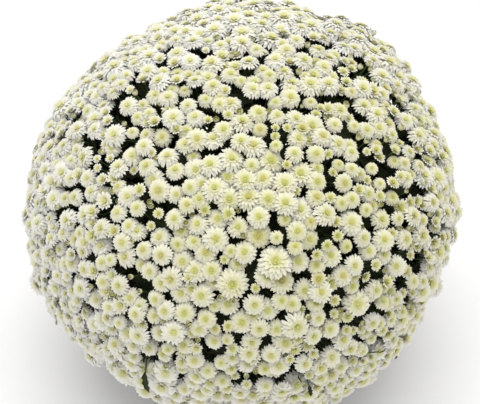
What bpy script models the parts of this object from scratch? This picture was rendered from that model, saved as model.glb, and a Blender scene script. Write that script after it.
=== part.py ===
"""Pot chrysanthemum: a ball of small white double blooms on leafy stems, in a plain pot.

Metres, +Z up. The origin is the middle of the pot's base, on the surface that it stands on.
The bush is one crown of leafy stems. Each stem stands in its own hole in the soil, ends in a
leafy head, and holds one spray of blooms just above that head. A spray's blooms hold each
other: each has one petal tip sunk in the bloom that it was set from.
"""

import math
import random
from dataclasses import dataclass

import bmesh
import bpy
from mathutils import Matrix, Vector
from mathutils.bvhtree import BVHTree
from mathutils.kdtree import KDTree

# The bush, measured to the tops of its blooms. Angles are from straight up.
BUSH_RADIUS = 0.250
BUSH_HALF_HEIGHT = 0.237
BUSH_CENTRE = Vector((0.0, 0.0, 0.228))
SKIRT_ANGLE = math.radians(137.0)
LOWEST_SPRAY = math.radians(128.0)

# Sprays and blooms. Rooms are angles in radians, as chords of a unit ball.
SPRAYS = 24
SPRAY_WANDER = 0.05
SPRAY_ROOM = 0.62
SPRAY_ROUNDS = 4
SPRAY_GAP = 0.0005
PUSH_SHARE = 0.3
BLOOMS = 414
BLOOM_WANDER = 0.03
BLOOM_ROOM = 0.167
BLOOM_ROUNDS = 6
BLOOM_DEPTH = 0.011
BLOOM_LAYER = 0.013
BLOOM_LIFT = 0.004
BLOOM_LEAN = 0.157
SMALL_REACH = 0.020
MIDDLE_REACH = 0.024
LARGE_REACH = 0.0265
SIX_PETAL_REACH = 0.0285
FIRST_AIM = Vector((0.5, 0.7, 1.0))
NOTCH_SHARE = 0.63
HOLD_SHARE = 0.42
HOLD_HEIGHT = 0.0016
REACH_SHARES = (1.0, 0.9, 0.8, 0.7, 0.6)
ROLLS = (0.0, 8.0, -8.0, 16.0, -16.0, 24.0, -24.0)
TURNS = (0.0, 12.0, 24.0, 36.0, 48.0, 60.0)
NEIGHBOUR_REACH = 0.068

# Leafy heads and stems
HEAD_TOP = 0.188
HEAD_BOTTOM = 0.168
HEAD_DOME = 0.014
HEAD_SPREAD = math.radians(22.0)
HEAD_SIDES = 7
HEAD_GAP = 0.0015
HEAD_LOWEST = 0.090
HEAD_POT_GAP = 0.010
STEM_RADIUS = 0.0034
STEM_SINK = 0.010
STEM_COLLAR = 0.004
HUB_DEPTH = 0.125
HUB_POT_GAP = 0.026
HUB_RISE = 0.030

# Bloom stalks, buds and leaves
STALKS = 2
STALK_RADIUS = 0.0016
STALK_FOOT = 0.0021
STALK_SINK = 0.004
BUD_RADIUS = 0.0052
BUD_LAYER = 0.012
LEAVES = 3
LEAF_LENGTH = 0.046
LEAF_WIDTH = 0.031
LEAF_THICKNESS = 0.0010
LEAF_FOOT_SHARE = 0.12
LEAF_LOBE_AT = 0.46
LEAF_NOTCH_AT = 0.64
LEAF_NOTCH_SHARE = 0.46
LEAF_SINK = 0.005
LEAF_SIZES = (0.8, 1.1)
PLACE_TRIES = 90
PLACE_SPREAD = 0.42
PLACE_LEAN = 0.55
PLACE_ROOM = 0.0005

# Pot and soil
POT_HEIGHT = 0.165
POT_RIM_RADIUS = 0.102
POT_BASE_RADIUS = 0.076
POT_WALL = 0.0022
POT_FLOOR = 0.003
POT_SIDES = 24
RIM_DEPTH = 0.020
RIM_PROUD = 0.0028
DRAINS = 4
DRAIN_RADIUS = 0.005
DRAIN_RING = 0.052
DRAIN_SIDES = 6
SOIL_TOP = 0.150
CROWN_RADIUS = 0.046
STEM_HOLE_RADIUS = 0.0054
STEM_HOLE_DEPTH = 0.020
STEM_HOLE_SIDES = 4
CLEARANCE = 0.0003
SHARP_ANGLE = math.radians(35.0)

# Colours, each with its roughness
WHITE = ((0.86, 0.85, 0.76, 1.0), 0.70)
LEAF_GREEN = ((0.045, 0.085, 0.025, 1.0), 0.60)
CHARCOAL = ((0.050, 0.057, 0.062, 1.0), 0.55)
PEAT = ((0.045, 0.028, 0.018, 1.0), 0.95)

UP = Vector((0.0, 0.0, 1.0))
MERGE = 0.000001
draw = random.Random(27)


@dataclass
class Bloom:
    """A flat-backed star of petals: the middle of its back, and one petal's aim and reach."""

    centre: Vector
    facing: Vector
    aim: Vector
    reach: float
    petals: int


# Objects, materials and joins


def clear_scene():
    for thing in list(bpy.data.objects):
        bpy.data.objects.remove(thing, do_unlink=True)


def new_collection(name):
    collection = bpy.data.collections.new(name)
    bpy.context.scene.collection.children.link(collection)
    return collection


def new_object(name, mesh, collection):
    thing = bpy.data.objects.new(name, mesh)
    collection.objects.link(thing)
    return thing


def mesh_object(name, shape, collection):
    """An object from a bmesh, which is freed."""
    mesh = bpy.data.meshes.new(name)
    bmesh.ops.recalc_face_normals(shape, faces=shape.faces)
    shape.to_mesh(mesh)
    shape.free()
    return new_object(name, mesh, collection)


def set_material(thing, finish):
    colour, roughness = finish
    material = bpy.data.materials.new(thing.name)
    material.use_nodes = True
    shader = material.node_tree.nodes["Principled BSDF"]
    shader.inputs["Base Color"].default_value = colour
    shader.inputs["Roughness"].default_value = roughness
    shader.inputs["Metallic"].default_value = 0.0
    thing.data.materials.clear()
    thing.data.materials.append(material)


def evaluated_mesh(thing):
    bpy.context.view_layer.update()
    seen = thing.evaluated_get(bpy.context.evaluated_depsgraph_get())
    return bpy.data.meshes.new_from_object(seen)


def apply_modifiers(thing):
    mesh = evaluated_mesh(thing)
    thing.modifiers.clear()
    thing.data = mesh


def join_all(things):
    """Join solids that overlap into the first of them, with one Boolean union."""
    first = things[0]
    others = new_collection("joined")
    for thing in things[1:]:
        for holder in list(thing.users_collection):
            holder.objects.unlink(thing)
        others.objects.link(thing)
    union = first.modifiers.new("join", "BOOLEAN")
    union.operation = "UNION"
    union.operand_type = "COLLECTION"
    union.collection = others
    union.solver = "EXACT"
    apply_modifiers(first)
    for thing in list(others.objects):
        bpy.data.objects.remove(thing, do_unlink=True)
    bpy.data.collections.remove(others)
    return first


# Directions and places


def across(vector, axis):
    """The unit part of a vector that is square to an axis."""
    return (vector - axis * vector.dot(axis)).normalized()


def turn_to(direction):
    """The turn that takes +Z to a direction."""
    return direction.to_track_quat("Z", "Y").to_matrix().to_4x4()


def random_step(size):
    return Vector([draw.uniform(-size, size) for _ in range(3)])


def leant(direction, lean):
    return (direction + random_step(lean)).normalized()


def bush_point(direction, depth):
    """The point this deep under the bush's outside, in a direction from its centre."""
    level = BUSH_RADIUS - depth
    upright = BUSH_HALF_HEIGHT - depth
    return BUSH_CENTRE + Vector((direction.x * level, direction.y * level, direction.z * upright))


def bush_normal(direction):
    slope = BUSH_RADIUS / BUSH_HALF_HEIGHT
    return Vector((direction.x, direction.y, direction.z * slope)).normalized()


def spiral_directions(count, lowest, wander):
    """Directions spread evenly from straight up down to the lowest angle, a little shaken."""
    turn = math.pi * (3.0 - math.sqrt(5.0))
    found = []
    for number in range(count):
        up = 1.0 - (number + 0.5) / count * (1.0 - math.cos(lowest))
        level = math.sqrt(1.0 - up * up)
        step = Vector((math.cos(turn * number) * level, math.sin(turn * number) * level, up))
        found.append(leant(step, wander))
    return found


def direction_tree(points):
    tree = KDTree(len(points))
    for number, point in enumerate(points):
        tree.insert(point, number)
    tree.balance()
    return tree


def spread_apart(directions, room, rounds):
    """Push crowded neighbours apart, so that none sits on another."""
    for _ in range(rounds):
        tree = direction_tree(directions)
        moved = []
        for direction in directions:
            push = Vector()
            for other, _, gap in tree.find_range(direction, room):
                if gap > 0.0:
                    push += (direction - other) / gap * (room - gap)
            moved.append((direction + PUSH_SHARE * push).normalized())
        directions = moved
    return directions


def nearest(direction, choices):
    return max(range(len(choices)), key=lambda number: direction.dot(choices[number]))


def shape_tree(shape):
    """The surface of a bmesh, which is freed, for tests of what touches it."""
    tree = BVHTree.FromBMesh(shape)
    shape.free()
    return tree


def object_tree(thing):
    shape = bmesh.new()
    shape.from_mesh(thing.data)
    return shape_tree(shape)


def is_clear(shape, obstacles):
    tree = shape_tree(shape)
    return not any(tree.overlap(other) for other in obstacles)


# Blooms


def star_shape(bloom, margin=0.0):
    """A cone whose rim is drawn in between its petals, in place, with room to spare round it."""
    depth = BLOOM_DEPTH * min(1.0, bloom.reach / SMALL_REACH) + 2.0 * margin
    shape = bmesh.new()
    bmesh.ops.create_cone(
        shape,
        cap_ends=True,
        segments=2 * bloom.petals,
        radius1=bloom.reach + 2.0 * margin,
        radius2=0.0,
        depth=depth,
    )
    for vert in [vert for vert in shape.verts if vert.co.z < 0.0]:
        step = round(math.atan2(vert.co.x, vert.co.y) * bloom.petals / math.pi)
        if step % 2:
            vert.co.x *= NOTCH_SHARE
            vert.co.y *= NOTCH_SHARE
    side = bloom.aim.cross(bloom.facing)
    place = Matrix((side, bloom.aim, bloom.facing)).transposed().to_4x4()
    place.translation = bloom.centre + bloom.facing * (0.5 * depth - margin)
    bmesh.ops.transform(shape, matrix=place, verts=shape.verts)
    return shape


def first_bloom_choices(centre, facing):
    """Ways to set a spray's middle bloom, the largest first."""
    start = across(FIRST_AIM, facing)
    for reach in (LARGE_REACH, MIDDLE_REACH, SMALL_REACH):
        for turn in TURNS:
            aim = Matrix.Rotation(math.radians(turn), 3, facing) @ start
            yield Bloom(centre, facing, aim, reach, 5)


def held_bloom_choices(centre, facing, parent):
    """Ways to set a bloom with a petal tip sunk in its parent, the largest first."""
    toward = across(centre - parent.centre, parent.facing)
    hold = parent.centre + toward * (HOLD_SHARE * parent.reach) + parent.facing * HOLD_HEIGHT
    for share in REACH_SHARES:
        place = hold + (centre - hold) * share
        aim = (hold - place).normalized()
        reach = (hold - place).length
        petals = 6 if reach > SIX_PETAL_REACH else 5
        for roll in ROLLS:
            turned = Matrix.Rotation(math.radians(roll), 3, aim) @ across(facing, aim)
            yield Bloom(place, turned, aim, reach, petals)


def bloom_choices(direction, parent):
    facing = leant(bush_normal(direction), BLOOM_LEAN)
    centre = bush_point(direction, BLOOM_LAYER + draw.uniform(-BLOOM_LIFT, BLOOM_LIFT))
    if parent is None:
        return first_bloom_choices(centre, facing)
    return held_bloom_choices(centre, facing, parent)


def next_bloom(waiting, placed, directions, middle):
    """The waiting bloom that lies nearest to a placed one, with that one as its parent."""
    if not placed:
        return max(waiting, key=lambda number: directions[number].dot(middle)), None
    pairs = [(number, parent) for number in waiting for parent in placed]
    return max(pairs, key=lambda pair: directions[pair[0]].dot(directions[pair[1]]))


def lay_out_blooms(directions, homes, middles):
    """Set each spray's blooms outward from its middle one. Sprays never touch each other."""
    blooms = [None] * len(directions)
    trees = [None] * len(directions)
    places = [bush_point(direction, BLOOM_LAYER) for direction in directions]
    whole = direction_tree(places)
    for spray, middle in enumerate(middles):
        waiting = [number for number, home in enumerate(homes) if home == spray]
        placed = []
        while waiting:
            number, parent = next_bloom(waiting, placed, directions, middle)
            waiting.remove(number)
            near = [found[1] for found in whole.find_range(places[number], NEIGHBOUR_REACH)]
            near = [other for other in near if trees[other] and other != parent]
            held_by = None if parent is None else blooms[parent]
            fewest = None
            for choice in bloom_choices(directions[number], held_by):
                tree = shape_tree(star_shape(choice, SPRAY_GAP))
                touched = [other for other in near if tree.overlap(trees[other])]
                if any(homes[other] != spray for other in touched):
                    continue
                if fewest is None or len(touched) < fewest:
                    fewest = len(touched)
                    blooms[number] = choice
                if not touched:
                    break
            if blooms[number] is not None:
                trees[number] = shape_tree(star_shape(blooms[number]))
                placed.append(number)
    return blooms


def own_blooms(blooms, homes, spray):
    return [bloom for bloom, home in zip(blooms, homes) if bloom is not None and home == spray]


def make_sprays(blooms, homes, model):
    """One white node for each spray: its blooms, fused where their petals overlap."""
    sprays = []
    for spray in range(SPRAYS):
        own = own_blooms(blooms, homes, spray)
        done = join_all([mesh_object("star", star_shape(bloom), model) for bloom in own])
        done.name = f"bloom_spray_{spray + 1:02d}"
        set_material(done, WHITE)
        sprays.append(done)
    return sprays


# Leafy stems


def cut_away(shape, point, outward):
    """Cut a convex solid at a plane and close it. What lies outward of the plane goes."""
    parts = shape.verts[:] + shape.edges[:] + shape.faces[:]
    cut = bmesh.ops.bisect_plane(
        shape, geom=parts, dist=MERGE, plane_co=point, plane_no=outward, clear_outer=True
    )
    edges = [part for part in cut["geom_cut"] if isinstance(part, bmesh.types.BMEdge)]
    if edges:
        bmesh.ops.contextual_create(shape, geom=edges)


def head_shape(direction, middles):
    """A leafy head: a domed block, cut off half way to each neighbouring spray."""
    shape = bmesh.new()
    bmesh.ops.create_cone(
        shape,
        cap_ends=True,
        segments=HEAD_SIDES,
        radius1=math.tan(HEAD_SPREAD) * HEAD_BOTTOM,
        radius2=math.tan(HEAD_SPREAD) * HEAD_TOP,
        depth=HEAD_TOP - HEAD_BOTTOM,
    )
    middle = BUSH_CENTRE + direction * (0.5 * (HEAD_TOP + HEAD_BOTTOM))
    place = Matrix.Translation(middle) @ turn_to(direction)
    bmesh.ops.transform(shape, matrix=place, verts=shape.verts)
    for other in middles:
        if other is not direction:
            between = (other - direction).normalized()
            cut_away(shape, BUSH_CENTRE - between * HEAD_GAP, between)
    if direction.z < 0.0:
        outward = across(direction, UP)
        cut_away(shape, outward * (POT_RIM_RADIUS + RIM_PROUD + HEAD_POT_GAP), -outward)
    cut_away(shape, UP * HEAD_LOWEST, -UP)
    top = max(shape.faces, key=lambda face: face.normal.dot(direction))
    bmesh.ops.poke(shape, faces=[top], offset=HEAD_DOME)
    return shape


def crown_point(direction):
    """Where a stem stands: the higher its spray, the nearer the middle of the crown."""
    share = (1.0 - direction.z) / (1.0 - math.cos(LOWEST_SPRAY))
    return across(direction, UP) * (CROWN_RADIUS * math.sqrt(share))


def stem_path(direction):
    """Up out of the soil, over the rim where the spray hangs low, and into its head."""
    foot = crown_point(direction)
    hub = BUSH_CENTRE + direction * HUB_DEPTH
    if hub.z < POT_HEIGHT + HUB_RISE:
        outward = across(direction, UP)
        hub = outward * (POT_RIM_RADIUS + HUB_POT_GAP) + UP * (POT_HEIGHT + HUB_RISE)
    return [
        foot + UP * (SOIL_TOP - STEM_HOLE_DEPTH + CLEARANCE),
        foot + UP * (SOIL_TOP + STEM_COLLAR),
        hub,
        BUSH_CENTRE + direction * (HEAD_BOTTOM + STEM_SINK),
    ]


def make_stem(direction, model):
    """A square-sectioned stem, whose caps are welded on."""
    points = stem_path(direction)
    curve = bpy.data.curves.new("stem", "CURVE")
    curve.dimensions = "3D"
    curve.bevel_depth = STEM_RADIUS
    curve.bevel_resolution = 0
    curve.use_fill_caps = True
    line = curve.splines.new("POLY")
    line.points.add(len(points) - 1)
    for spot, point in zip(line.points, points):
        spot.co = (*point, 1.0)
    guide = new_object("stem", curve, model)
    shape = bmesh.new()
    shape.from_mesh(evaluated_mesh(guide))
    bpy.data.objects.remove(guide, do_unlink=True)
    bmesh.ops.remove_doubles(shape, verts=shape.verts, dist=MERGE)
    return mesh_object("stem", shape, model)


def stalk_shape(start, end, swell=0.0):
    """A three-sided stalk, a little stouter at its foot."""
    shape = bmesh.new()
    bmesh.ops.create_cone(
        shape,
        cap_ends=True,
        segments=3,
        radius1=STALK_FOOT + swell,
        radius2=STALK_RADIUS + swell,
        depth=(end - start).length,
    )
    place = Matrix.Translation(0.5 * (start + end)) @ turn_to((end - start).normalized())
    bmesh.ops.transform(shape, matrix=place, verts=shape.verts)
    return shape


def make_stalks(own, head_tree, obstacles, model):
    """Stalks under the first blooms that have a clear way straight down to the head."""
    stalks = []
    for bloom in own:
        hit = head_tree.ray_cast(bloom.centre - bloom.facing * CLEARANCE, -bloom.facing)[0]
        if hit is None or len(stalks) == STALKS:
            continue
        foot = hit - bloom.facing * STALK_SINK
        end = bloom.centre - bloom.facing * CLEARANCE
        test_end = end - bloom.facing * CLEARANCE
        if is_clear(stalk_shape(foot, test_end, CLEARANCE), obstacles):
            stalk = mesh_object("stalk", stalk_shape(foot, end), model)
            obstacles.append(object_tree(stalk))
            stalks.append(stalk)
    return stalks


def bud_shape(centre, radius):
    shape = bmesh.new()
    bmesh.ops.create_uvsphere(shape, u_segments=4, v_segments=3, radius=radius)
    bmesh.ops.translate(shape, verts=shape.verts, vec=centre)
    return shape


def make_bud(direction, head_tree, obstacles, model):
    """One round bud on its stalk, where there is a clear way out between the blooms."""
    for _ in range(PLACE_TRIES):
        way = leant(direction, PLACE_SPREAD)
        hit = head_tree.ray_cast(bush_point(way, 0.0), -way)[0]
        if hit is None:
            continue
        foot = hit - way * STALK_SINK
        end = bush_point(way, BUD_LAYER)
        if not is_clear(bud_shape(end, BUD_RADIUS + PLACE_ROOM), obstacles):
            continue
        if is_clear(stalk_shape(foot, end, PLACE_ROOM), obstacles):
            parts = [
                mesh_object("stalk", stalk_shape(foot, end), model),
                mesh_object("bud", bud_shape(end, BUD_RADIUS), model),
            ]
            obstacles += [object_tree(part) for part in parts]
            return parts
    return []


def leaf_outline(room):
    """A three-lobed leaf's outline, as (side, along), from one side of its foot round."""
    side = 0.5 * LEAF_WIDTH
    half = [
        (LEAF_FOOT_SHARE * side + room, -room),
        (side + room, LEAF_LOBE_AT * LEAF_LENGTH),
        (LEAF_NOTCH_SHARE * side + room, LEAF_NOTCH_AT * LEAF_LENGTH),
    ]
    tip = (0.0, LEAF_LENGTH + 2.0 * room)
    return half + [tip] + [(-x, y) for x, y in reversed(half)]


def leaf_shape(root, along, face, size, room=0.0):
    """A flat lobed blade that starts at its root and points along."""
    shape = bmesh.new()
    corners = [shape.verts.new((size * x, size * y, 0.0)) for x, y in leaf_outline(room)]
    blade = shape.faces.new(corners)
    thick = LEAF_THICKNESS + 2.0 * room
    raised = bmesh.ops.extrude_face_region(shape, geom=[blade])
    lifted = [part for part in raised["geom"] if isinstance(part, bmesh.types.BMVert)]
    bmesh.ops.translate(shape, verts=lifted, vec=(0.0, 0.0, thick))
    bmesh.ops.translate(shape, verts=shape.verts, vec=(0.0, 0.0, -0.5 * thick))
    place = Matrix((along.cross(face), along, face)).transposed().to_4x4()
    place.translation = root
    bmesh.ops.transform(shape, matrix=place, verts=shape.verts)
    return shape


def make_leaf(direction, head_tree, obstacles, model):
    """One leaf out of a head, in the clear place found that reaches furthest out."""
    best = None
    furthest = 0.0
    for _ in range(PLACE_TRIES):
        way = leant(direction, PLACE_SPREAD)
        along = leant(way, PLACE_LEAN)
        face = across(random_step(1.0), along)
        size = draw.uniform(*LEAF_SIZES)
        hit = head_tree.ray_cast(bush_point(way, 0.0), -way)[0]
        if hit is None:
            continue
        root = hit - along * LEAF_SINK
        reach = (root + along * (LEAF_LENGTH * size) - BUSH_CENTRE).length
        if reach > furthest and is_clear(leaf_shape(root, along, face, size, PLACE_ROOM), obstacles):
            best = (root, along, face, size)
            furthest = reach
    if best is None:
        return []
    leaf = mesh_object("leaf", leaf_shape(*best), model)
    obstacles.append(object_tree(leaf))
    return [leaf]


def make_stems(middles, blooms, homes, sprays, model):
    """One green node for each spray: its stem, leafy head, stalks, bud and leaves."""
    heads = [mesh_object("head", head_shape(middle, middles), model) for middle in middles]
    stems = [make_stem(middle, model) for middle in middles]
    head_trees = [object_tree(head) for head in heads]
    grown = [object_tree(thing) for thing in sprays + stems]
    for spray, middle in enumerate(middles):
        obstacles = grown + head_trees[:spray] + head_trees[spray + 1 :]
        known = len(obstacles)
        own = own_blooms(blooms, homes, spray)
        own.sort(key=lambda bloom: -bloom.facing.dot(middle))
        parts = [heads[spray], stems[spray]]
        parts += make_stalks(own, head_trees[spray], obstacles, model)
        parts += make_bud(middle, head_trees[spray], obstacles, model)
        for _ in range(LEAVES):
            parts += make_leaf(middle, head_trees[spray], obstacles, model)
        grown += obstacles[known:]
        done = join_all(parts)
        done.name = f"leafy_stem_{spray + 1:02d}"
        set_material(done, LEAF_GREEN)


# Pot and soil


def pot_radius(height):
    """The pot's outer radius under its rim band."""
    return POT_BASE_RADIUS + (POT_RIM_RADIUS - POT_BASE_RADIUS) * height / POT_HEIGHT


def turned(name, profile, model):
    """A turned solid from a profile of (radius, height) that starts and ends on the axis."""
    mesh = bpy.data.meshes.new(name)
    points = [(radius, 0.0, height) for radius, height in profile]
    mesh.from_pydata(points, [(i, i + 1) for i in range(len(points) - 1)], [])
    thing = new_object(name, mesh, model)
    screw = thing.modifiers.new("turn", "SCREW")
    screw.steps = POT_SIDES
    screw.render_steps = POT_SIDES
    screw.use_merge_vertices = True
    screw.merge_threshold = 0.0001
    apply_modifiers(thing)
    return thing


def cut_holes(thing, spots, radius, low, high, sides):
    """Plain upright holes at these spots."""
    cutters = new_collection(thing.name + "_cutters")
    for spot in spots:
        shape = bmesh.new()
        bmesh.ops.create_cone(
            shape, cap_ends=True, segments=sides, radius1=radius, radius2=radius, depth=high - low
        )
        bmesh.ops.translate(shape, verts=shape.verts, vec=(spot.x, spot.y, 0.5 * (low + high)))
        cutter = mesh_object("cutter", shape, cutters)
        cutter.hide_render = True
        cutter.display_type = "WIRE"
    cut = thing.modifiers.new("holes", "BOOLEAN")
    cut.operation = "DIFFERENCE"
    cut.operand_type = "COLLECTION"
    cut.collection = cutters
    cut.solver = "EXACT"


def make_pot(model):
    under_rim = POT_HEIGHT - RIM_DEPTH
    profile = [
        (0.0, POT_FLOOR),
        (pot_radius(POT_FLOOR) - POT_WALL, POT_FLOOR),
        (POT_RIM_RADIUS - POT_WALL, POT_HEIGHT),
        (POT_RIM_RADIUS + RIM_PROUD, POT_HEIGHT),
        (POT_RIM_RADIUS + RIM_PROUD, under_rim),
        (pot_radius(under_rim), under_rim),
        (POT_BASE_RADIUS, 0.0),
        (0.0, 0.0),
    ]
    pot = turned("pot", profile, model)
    turns = [math.tau * (number + 0.5) / DRAINS for number in range(DRAINS)]
    spots = [Vector((math.cos(turn), math.sin(turn), 0.0)) * DRAIN_RING for turn in turns]
    cut_holes(pot, spots, DRAIN_RADIUS, -POT_FLOOR, 2.0 * POT_FLOOR, DRAIN_SIDES)
    pot.data.shade_smooth()
    pot.data.set_sharp_from_angle(angle=SHARP_ANGLE)
    set_material(pot, CHARCOAL)


def make_soil(middles, model):
    """The mix that fills the pot, with a plain hole for each stem."""
    bottom = POT_FLOOR + CLEARANCE
    away = POT_WALL + 2.0 * CLEARANCE
    profile = [
        (0.0, SOIL_TOP),
        (pot_radius(SOIL_TOP) - away, SOIL_TOP),
        (pot_radius(bottom) - away, bottom),
        (0.0, bottom),
    ]
    soil = turned("soil", profile, model)
    spots = [crown_point(middle) for middle in middles]
    low = SOIL_TOP - STEM_HOLE_DEPTH
    high = SOIL_TOP + STEM_COLLAR
    cut_holes(soil, spots, STEM_HOLE_RADIUS, low, high, STEM_HOLE_SIDES)
    set_material(soil, PEAT)


def main():
    clear_scene()
    model = new_collection("pot_chrysanthemum")
    middles = spiral_directions(SPRAYS, LOWEST_SPRAY, SPRAY_WANDER)
    middles = spread_apart(middles, SPRAY_ROOM, SPRAY_ROUNDS)
    directions = spiral_directions(BLOOMS, SKIRT_ANGLE, BLOOM_WANDER)
    directions = spread_apart(directions, BLOOM_ROOM, BLOOM_ROUNDS)
    homes = [nearest(direction, middles) for direction in directions]
    blooms = lay_out_blooms(directions, homes, middles)
    sprays = make_sprays(blooms, homes, model)
    make_stems(middles, blooms, homes, sprays, model)
    make_pot(model)
    make_soil(middles, model)
    whole = new_object("pot_chrysanthemum", None, model)
    for thing in model.objects:
        if thing is not whole:
            thing.parent = whole


main()
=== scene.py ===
"""Looks of the pot chrysanthemum: its blooms, buds, leaves, stalks, pot and soil.

Metres, +Z up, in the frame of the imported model. The pot stands on the floor at the origin.
Every bloom, half-open bloom and bud has its spot on the bush. A spot belongs to the spray of
the frame that it is nearest to, hangs on a stalk of that spray's stem, and is a copy of one
of a few templates, turned and tinted its own way.
"""

import math
from dataclasses import dataclass

import bpy
import numpy as np
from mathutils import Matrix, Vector
from mathutils.kdtree import KDTree


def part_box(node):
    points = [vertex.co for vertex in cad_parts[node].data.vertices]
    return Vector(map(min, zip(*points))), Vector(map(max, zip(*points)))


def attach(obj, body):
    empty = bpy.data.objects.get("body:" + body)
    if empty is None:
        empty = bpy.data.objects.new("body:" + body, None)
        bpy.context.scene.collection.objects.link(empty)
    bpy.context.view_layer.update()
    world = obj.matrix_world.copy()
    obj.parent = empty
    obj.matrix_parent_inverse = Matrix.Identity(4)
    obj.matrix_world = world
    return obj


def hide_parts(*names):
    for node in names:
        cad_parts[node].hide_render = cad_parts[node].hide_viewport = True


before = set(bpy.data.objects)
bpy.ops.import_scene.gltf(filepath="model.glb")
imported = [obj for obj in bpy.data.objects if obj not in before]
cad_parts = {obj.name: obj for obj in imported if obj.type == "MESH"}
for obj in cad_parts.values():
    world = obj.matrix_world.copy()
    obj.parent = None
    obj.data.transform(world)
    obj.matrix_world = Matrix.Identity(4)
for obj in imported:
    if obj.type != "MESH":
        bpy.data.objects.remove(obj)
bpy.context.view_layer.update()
draw = np.random.default_rng(41)

# The bush, measured to the tops of its blooms. Angles are from straight up.
BUSH_CENTRE = np.array((0.0, 0.0, 0.228))
BUSH_RADII = np.array((0.250, 0.250, 0.237))
SKIRT_ANGLE = math.radians(137.0)
UP = np.array((0.0, 0.0, 1.0))

# The photograph's frame, and the camera that took it, which looks along +Y and down. It stands
# where the bush's centre falls on its pixel.
PHOTO_SIZE = (480, 404)
FOCAL_PIXELS = 1562.0
CAMERA_RISE = math.radians(38.0)
CAMERA_DISTANCE = 1.80
BUSH_PIXEL = (240.5, 211.1)
SENSOR_WIDTH = 36.0
A_PIXEL = CAMERA_DISTANCE / FOCAL_PIXELS
RIGHT = np.array((1.0, 0.0, 0.0))
UPWARD = np.array((0.0, math.sin(CAMERA_RISE), math.cos(CAMERA_RISE)))
FORWARD = np.array((0.0, math.cos(CAMERA_RISE), -math.sin(CAMERA_RISE)))
BUSH_ASIDE = (BUSH_PIXEL[0] - PHOTO_SIZE[0] / 2.0) * A_PIXEL
BUSH_BELOW = (BUSH_PIXEL[1] - PHOTO_SIZE[1] / 2.0) * A_PIXEL
CAMERA_PLACE = BUSH_CENTRE - RIGHT * BUSH_ASIDE + UPWARD * BUSH_BELOW - FORWARD * CAMERA_DISTANCE

# How the bush departs from its ellipsoid. A swell is a wave's three slopes and its start. A bulge
# has its middle in the camera's axes, its height and its width. The top, as the camera sees it,
# leans to the right.
SURFACE_WAVE = 0.0030
SWELLS = ((9.0, 2.0, 0.0, 1.0), (0.0, 8.0, -3.0, 4.0), (4.0, 0.0, 9.0, 2.0))
TOP_SHIFT = 0.010
TOP_SHIFT_FROM = 0.55
BULGES = (
    ((0.64, 0.77, 0.0), 0.012, 0.05),
    ((-0.68, 0.73, 0.0), -0.004, 0.06),
    ((0.0, 1.0, 0.0), 0.004, 0.10),
    ((-0.56, -0.83, 0.0), -0.020, 0.05),
    ((0.90, -0.44, 0.0), -0.016, 0.05),
)

# The studio
WHITE = (1.0, 1.0, 1.0, 1.0)
WORLD_STRENGTH = 0.86
LAMP_PLACE = (-0.05, -0.35, 2.6)
LAMP_SIZE = 2.6
LAMP_POWER = 38.0
FLOOR_REACH = 9.0
FLOOR_TONES = ((0.3, (0.85, 0.85, 0.85)), (0.7, (0.87, 0.87, 0.87)))
FLOOR_PATCHES = 3.0
# The floor's faint warm glow is painted light, which lifts and warms the bush's shadow on it
FLOOR_GLOW = (1.0, 0.975, 0.96, 1.0)
FLOOR_GLOW_STRENGTH = 0.09

# Spots that a rule throws: their form, the tries, the least and most reach, and the spacing, a
# share of two spots' reaches added together, which is wider low down
THROWN = (
    ("full", 30000, (0.0108, 0.0162), 0.66),
    ("half", 16000, (0.0074, 0.0100), 0.62),
    ("bud", 5000, (0.0042, 0.0056), 0.66),
)
LOW_SPACING = 0.10
MOST_SPOTS = 4000

# Spots face out of the bush and lean to the light, the more the lower they are. Each sits at one
# of a few levels under the skin.
LIGHT_WAY = np.array((0.0, -0.33, 0.94))
LEAN = 0.46
LOW_LEAN = 0.40
FACING_JITTER = 0.17
SPOT_DEPTHS = {"full": 0.0070, "half": 0.0085, "bud": 0.0070}
DEPTH_JITTER = 0.0012
LEVELS = (0.0, 0.0032, 0.0064)

# A full bloom's tones rise with its reach, from the first of RIPENING to the second. Blooms are
# yellower in the middle of the bush that the camera sees, paler at its sides and most at its left,
# half-open ones the more so: painted light, for the bright rim against the backdrop and the light
# from the upper left. Some have browned hearts.
RIPENING = (0.0075, 0.0115)
RIPE_TONES = (0.86, 1.00)
PAINTED_RIM_LIGHT = (-0.10, 0.15)
PAINTED_LEFT_LIGHT = 0.08
HALF_PAINTED_LIGHT = 1.6
TONE_SCALES = (0.96, 1.04)
TONE_JITTER = 0.02
AGED_SHARE = 0.14
AGES = (0.3, 0.8)

# A bloom's normals lean out of a dome, whose middle lies that share of its reach behind it
DOME_DEPTH = 0.9
SOFTNESS = 2.2
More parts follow.
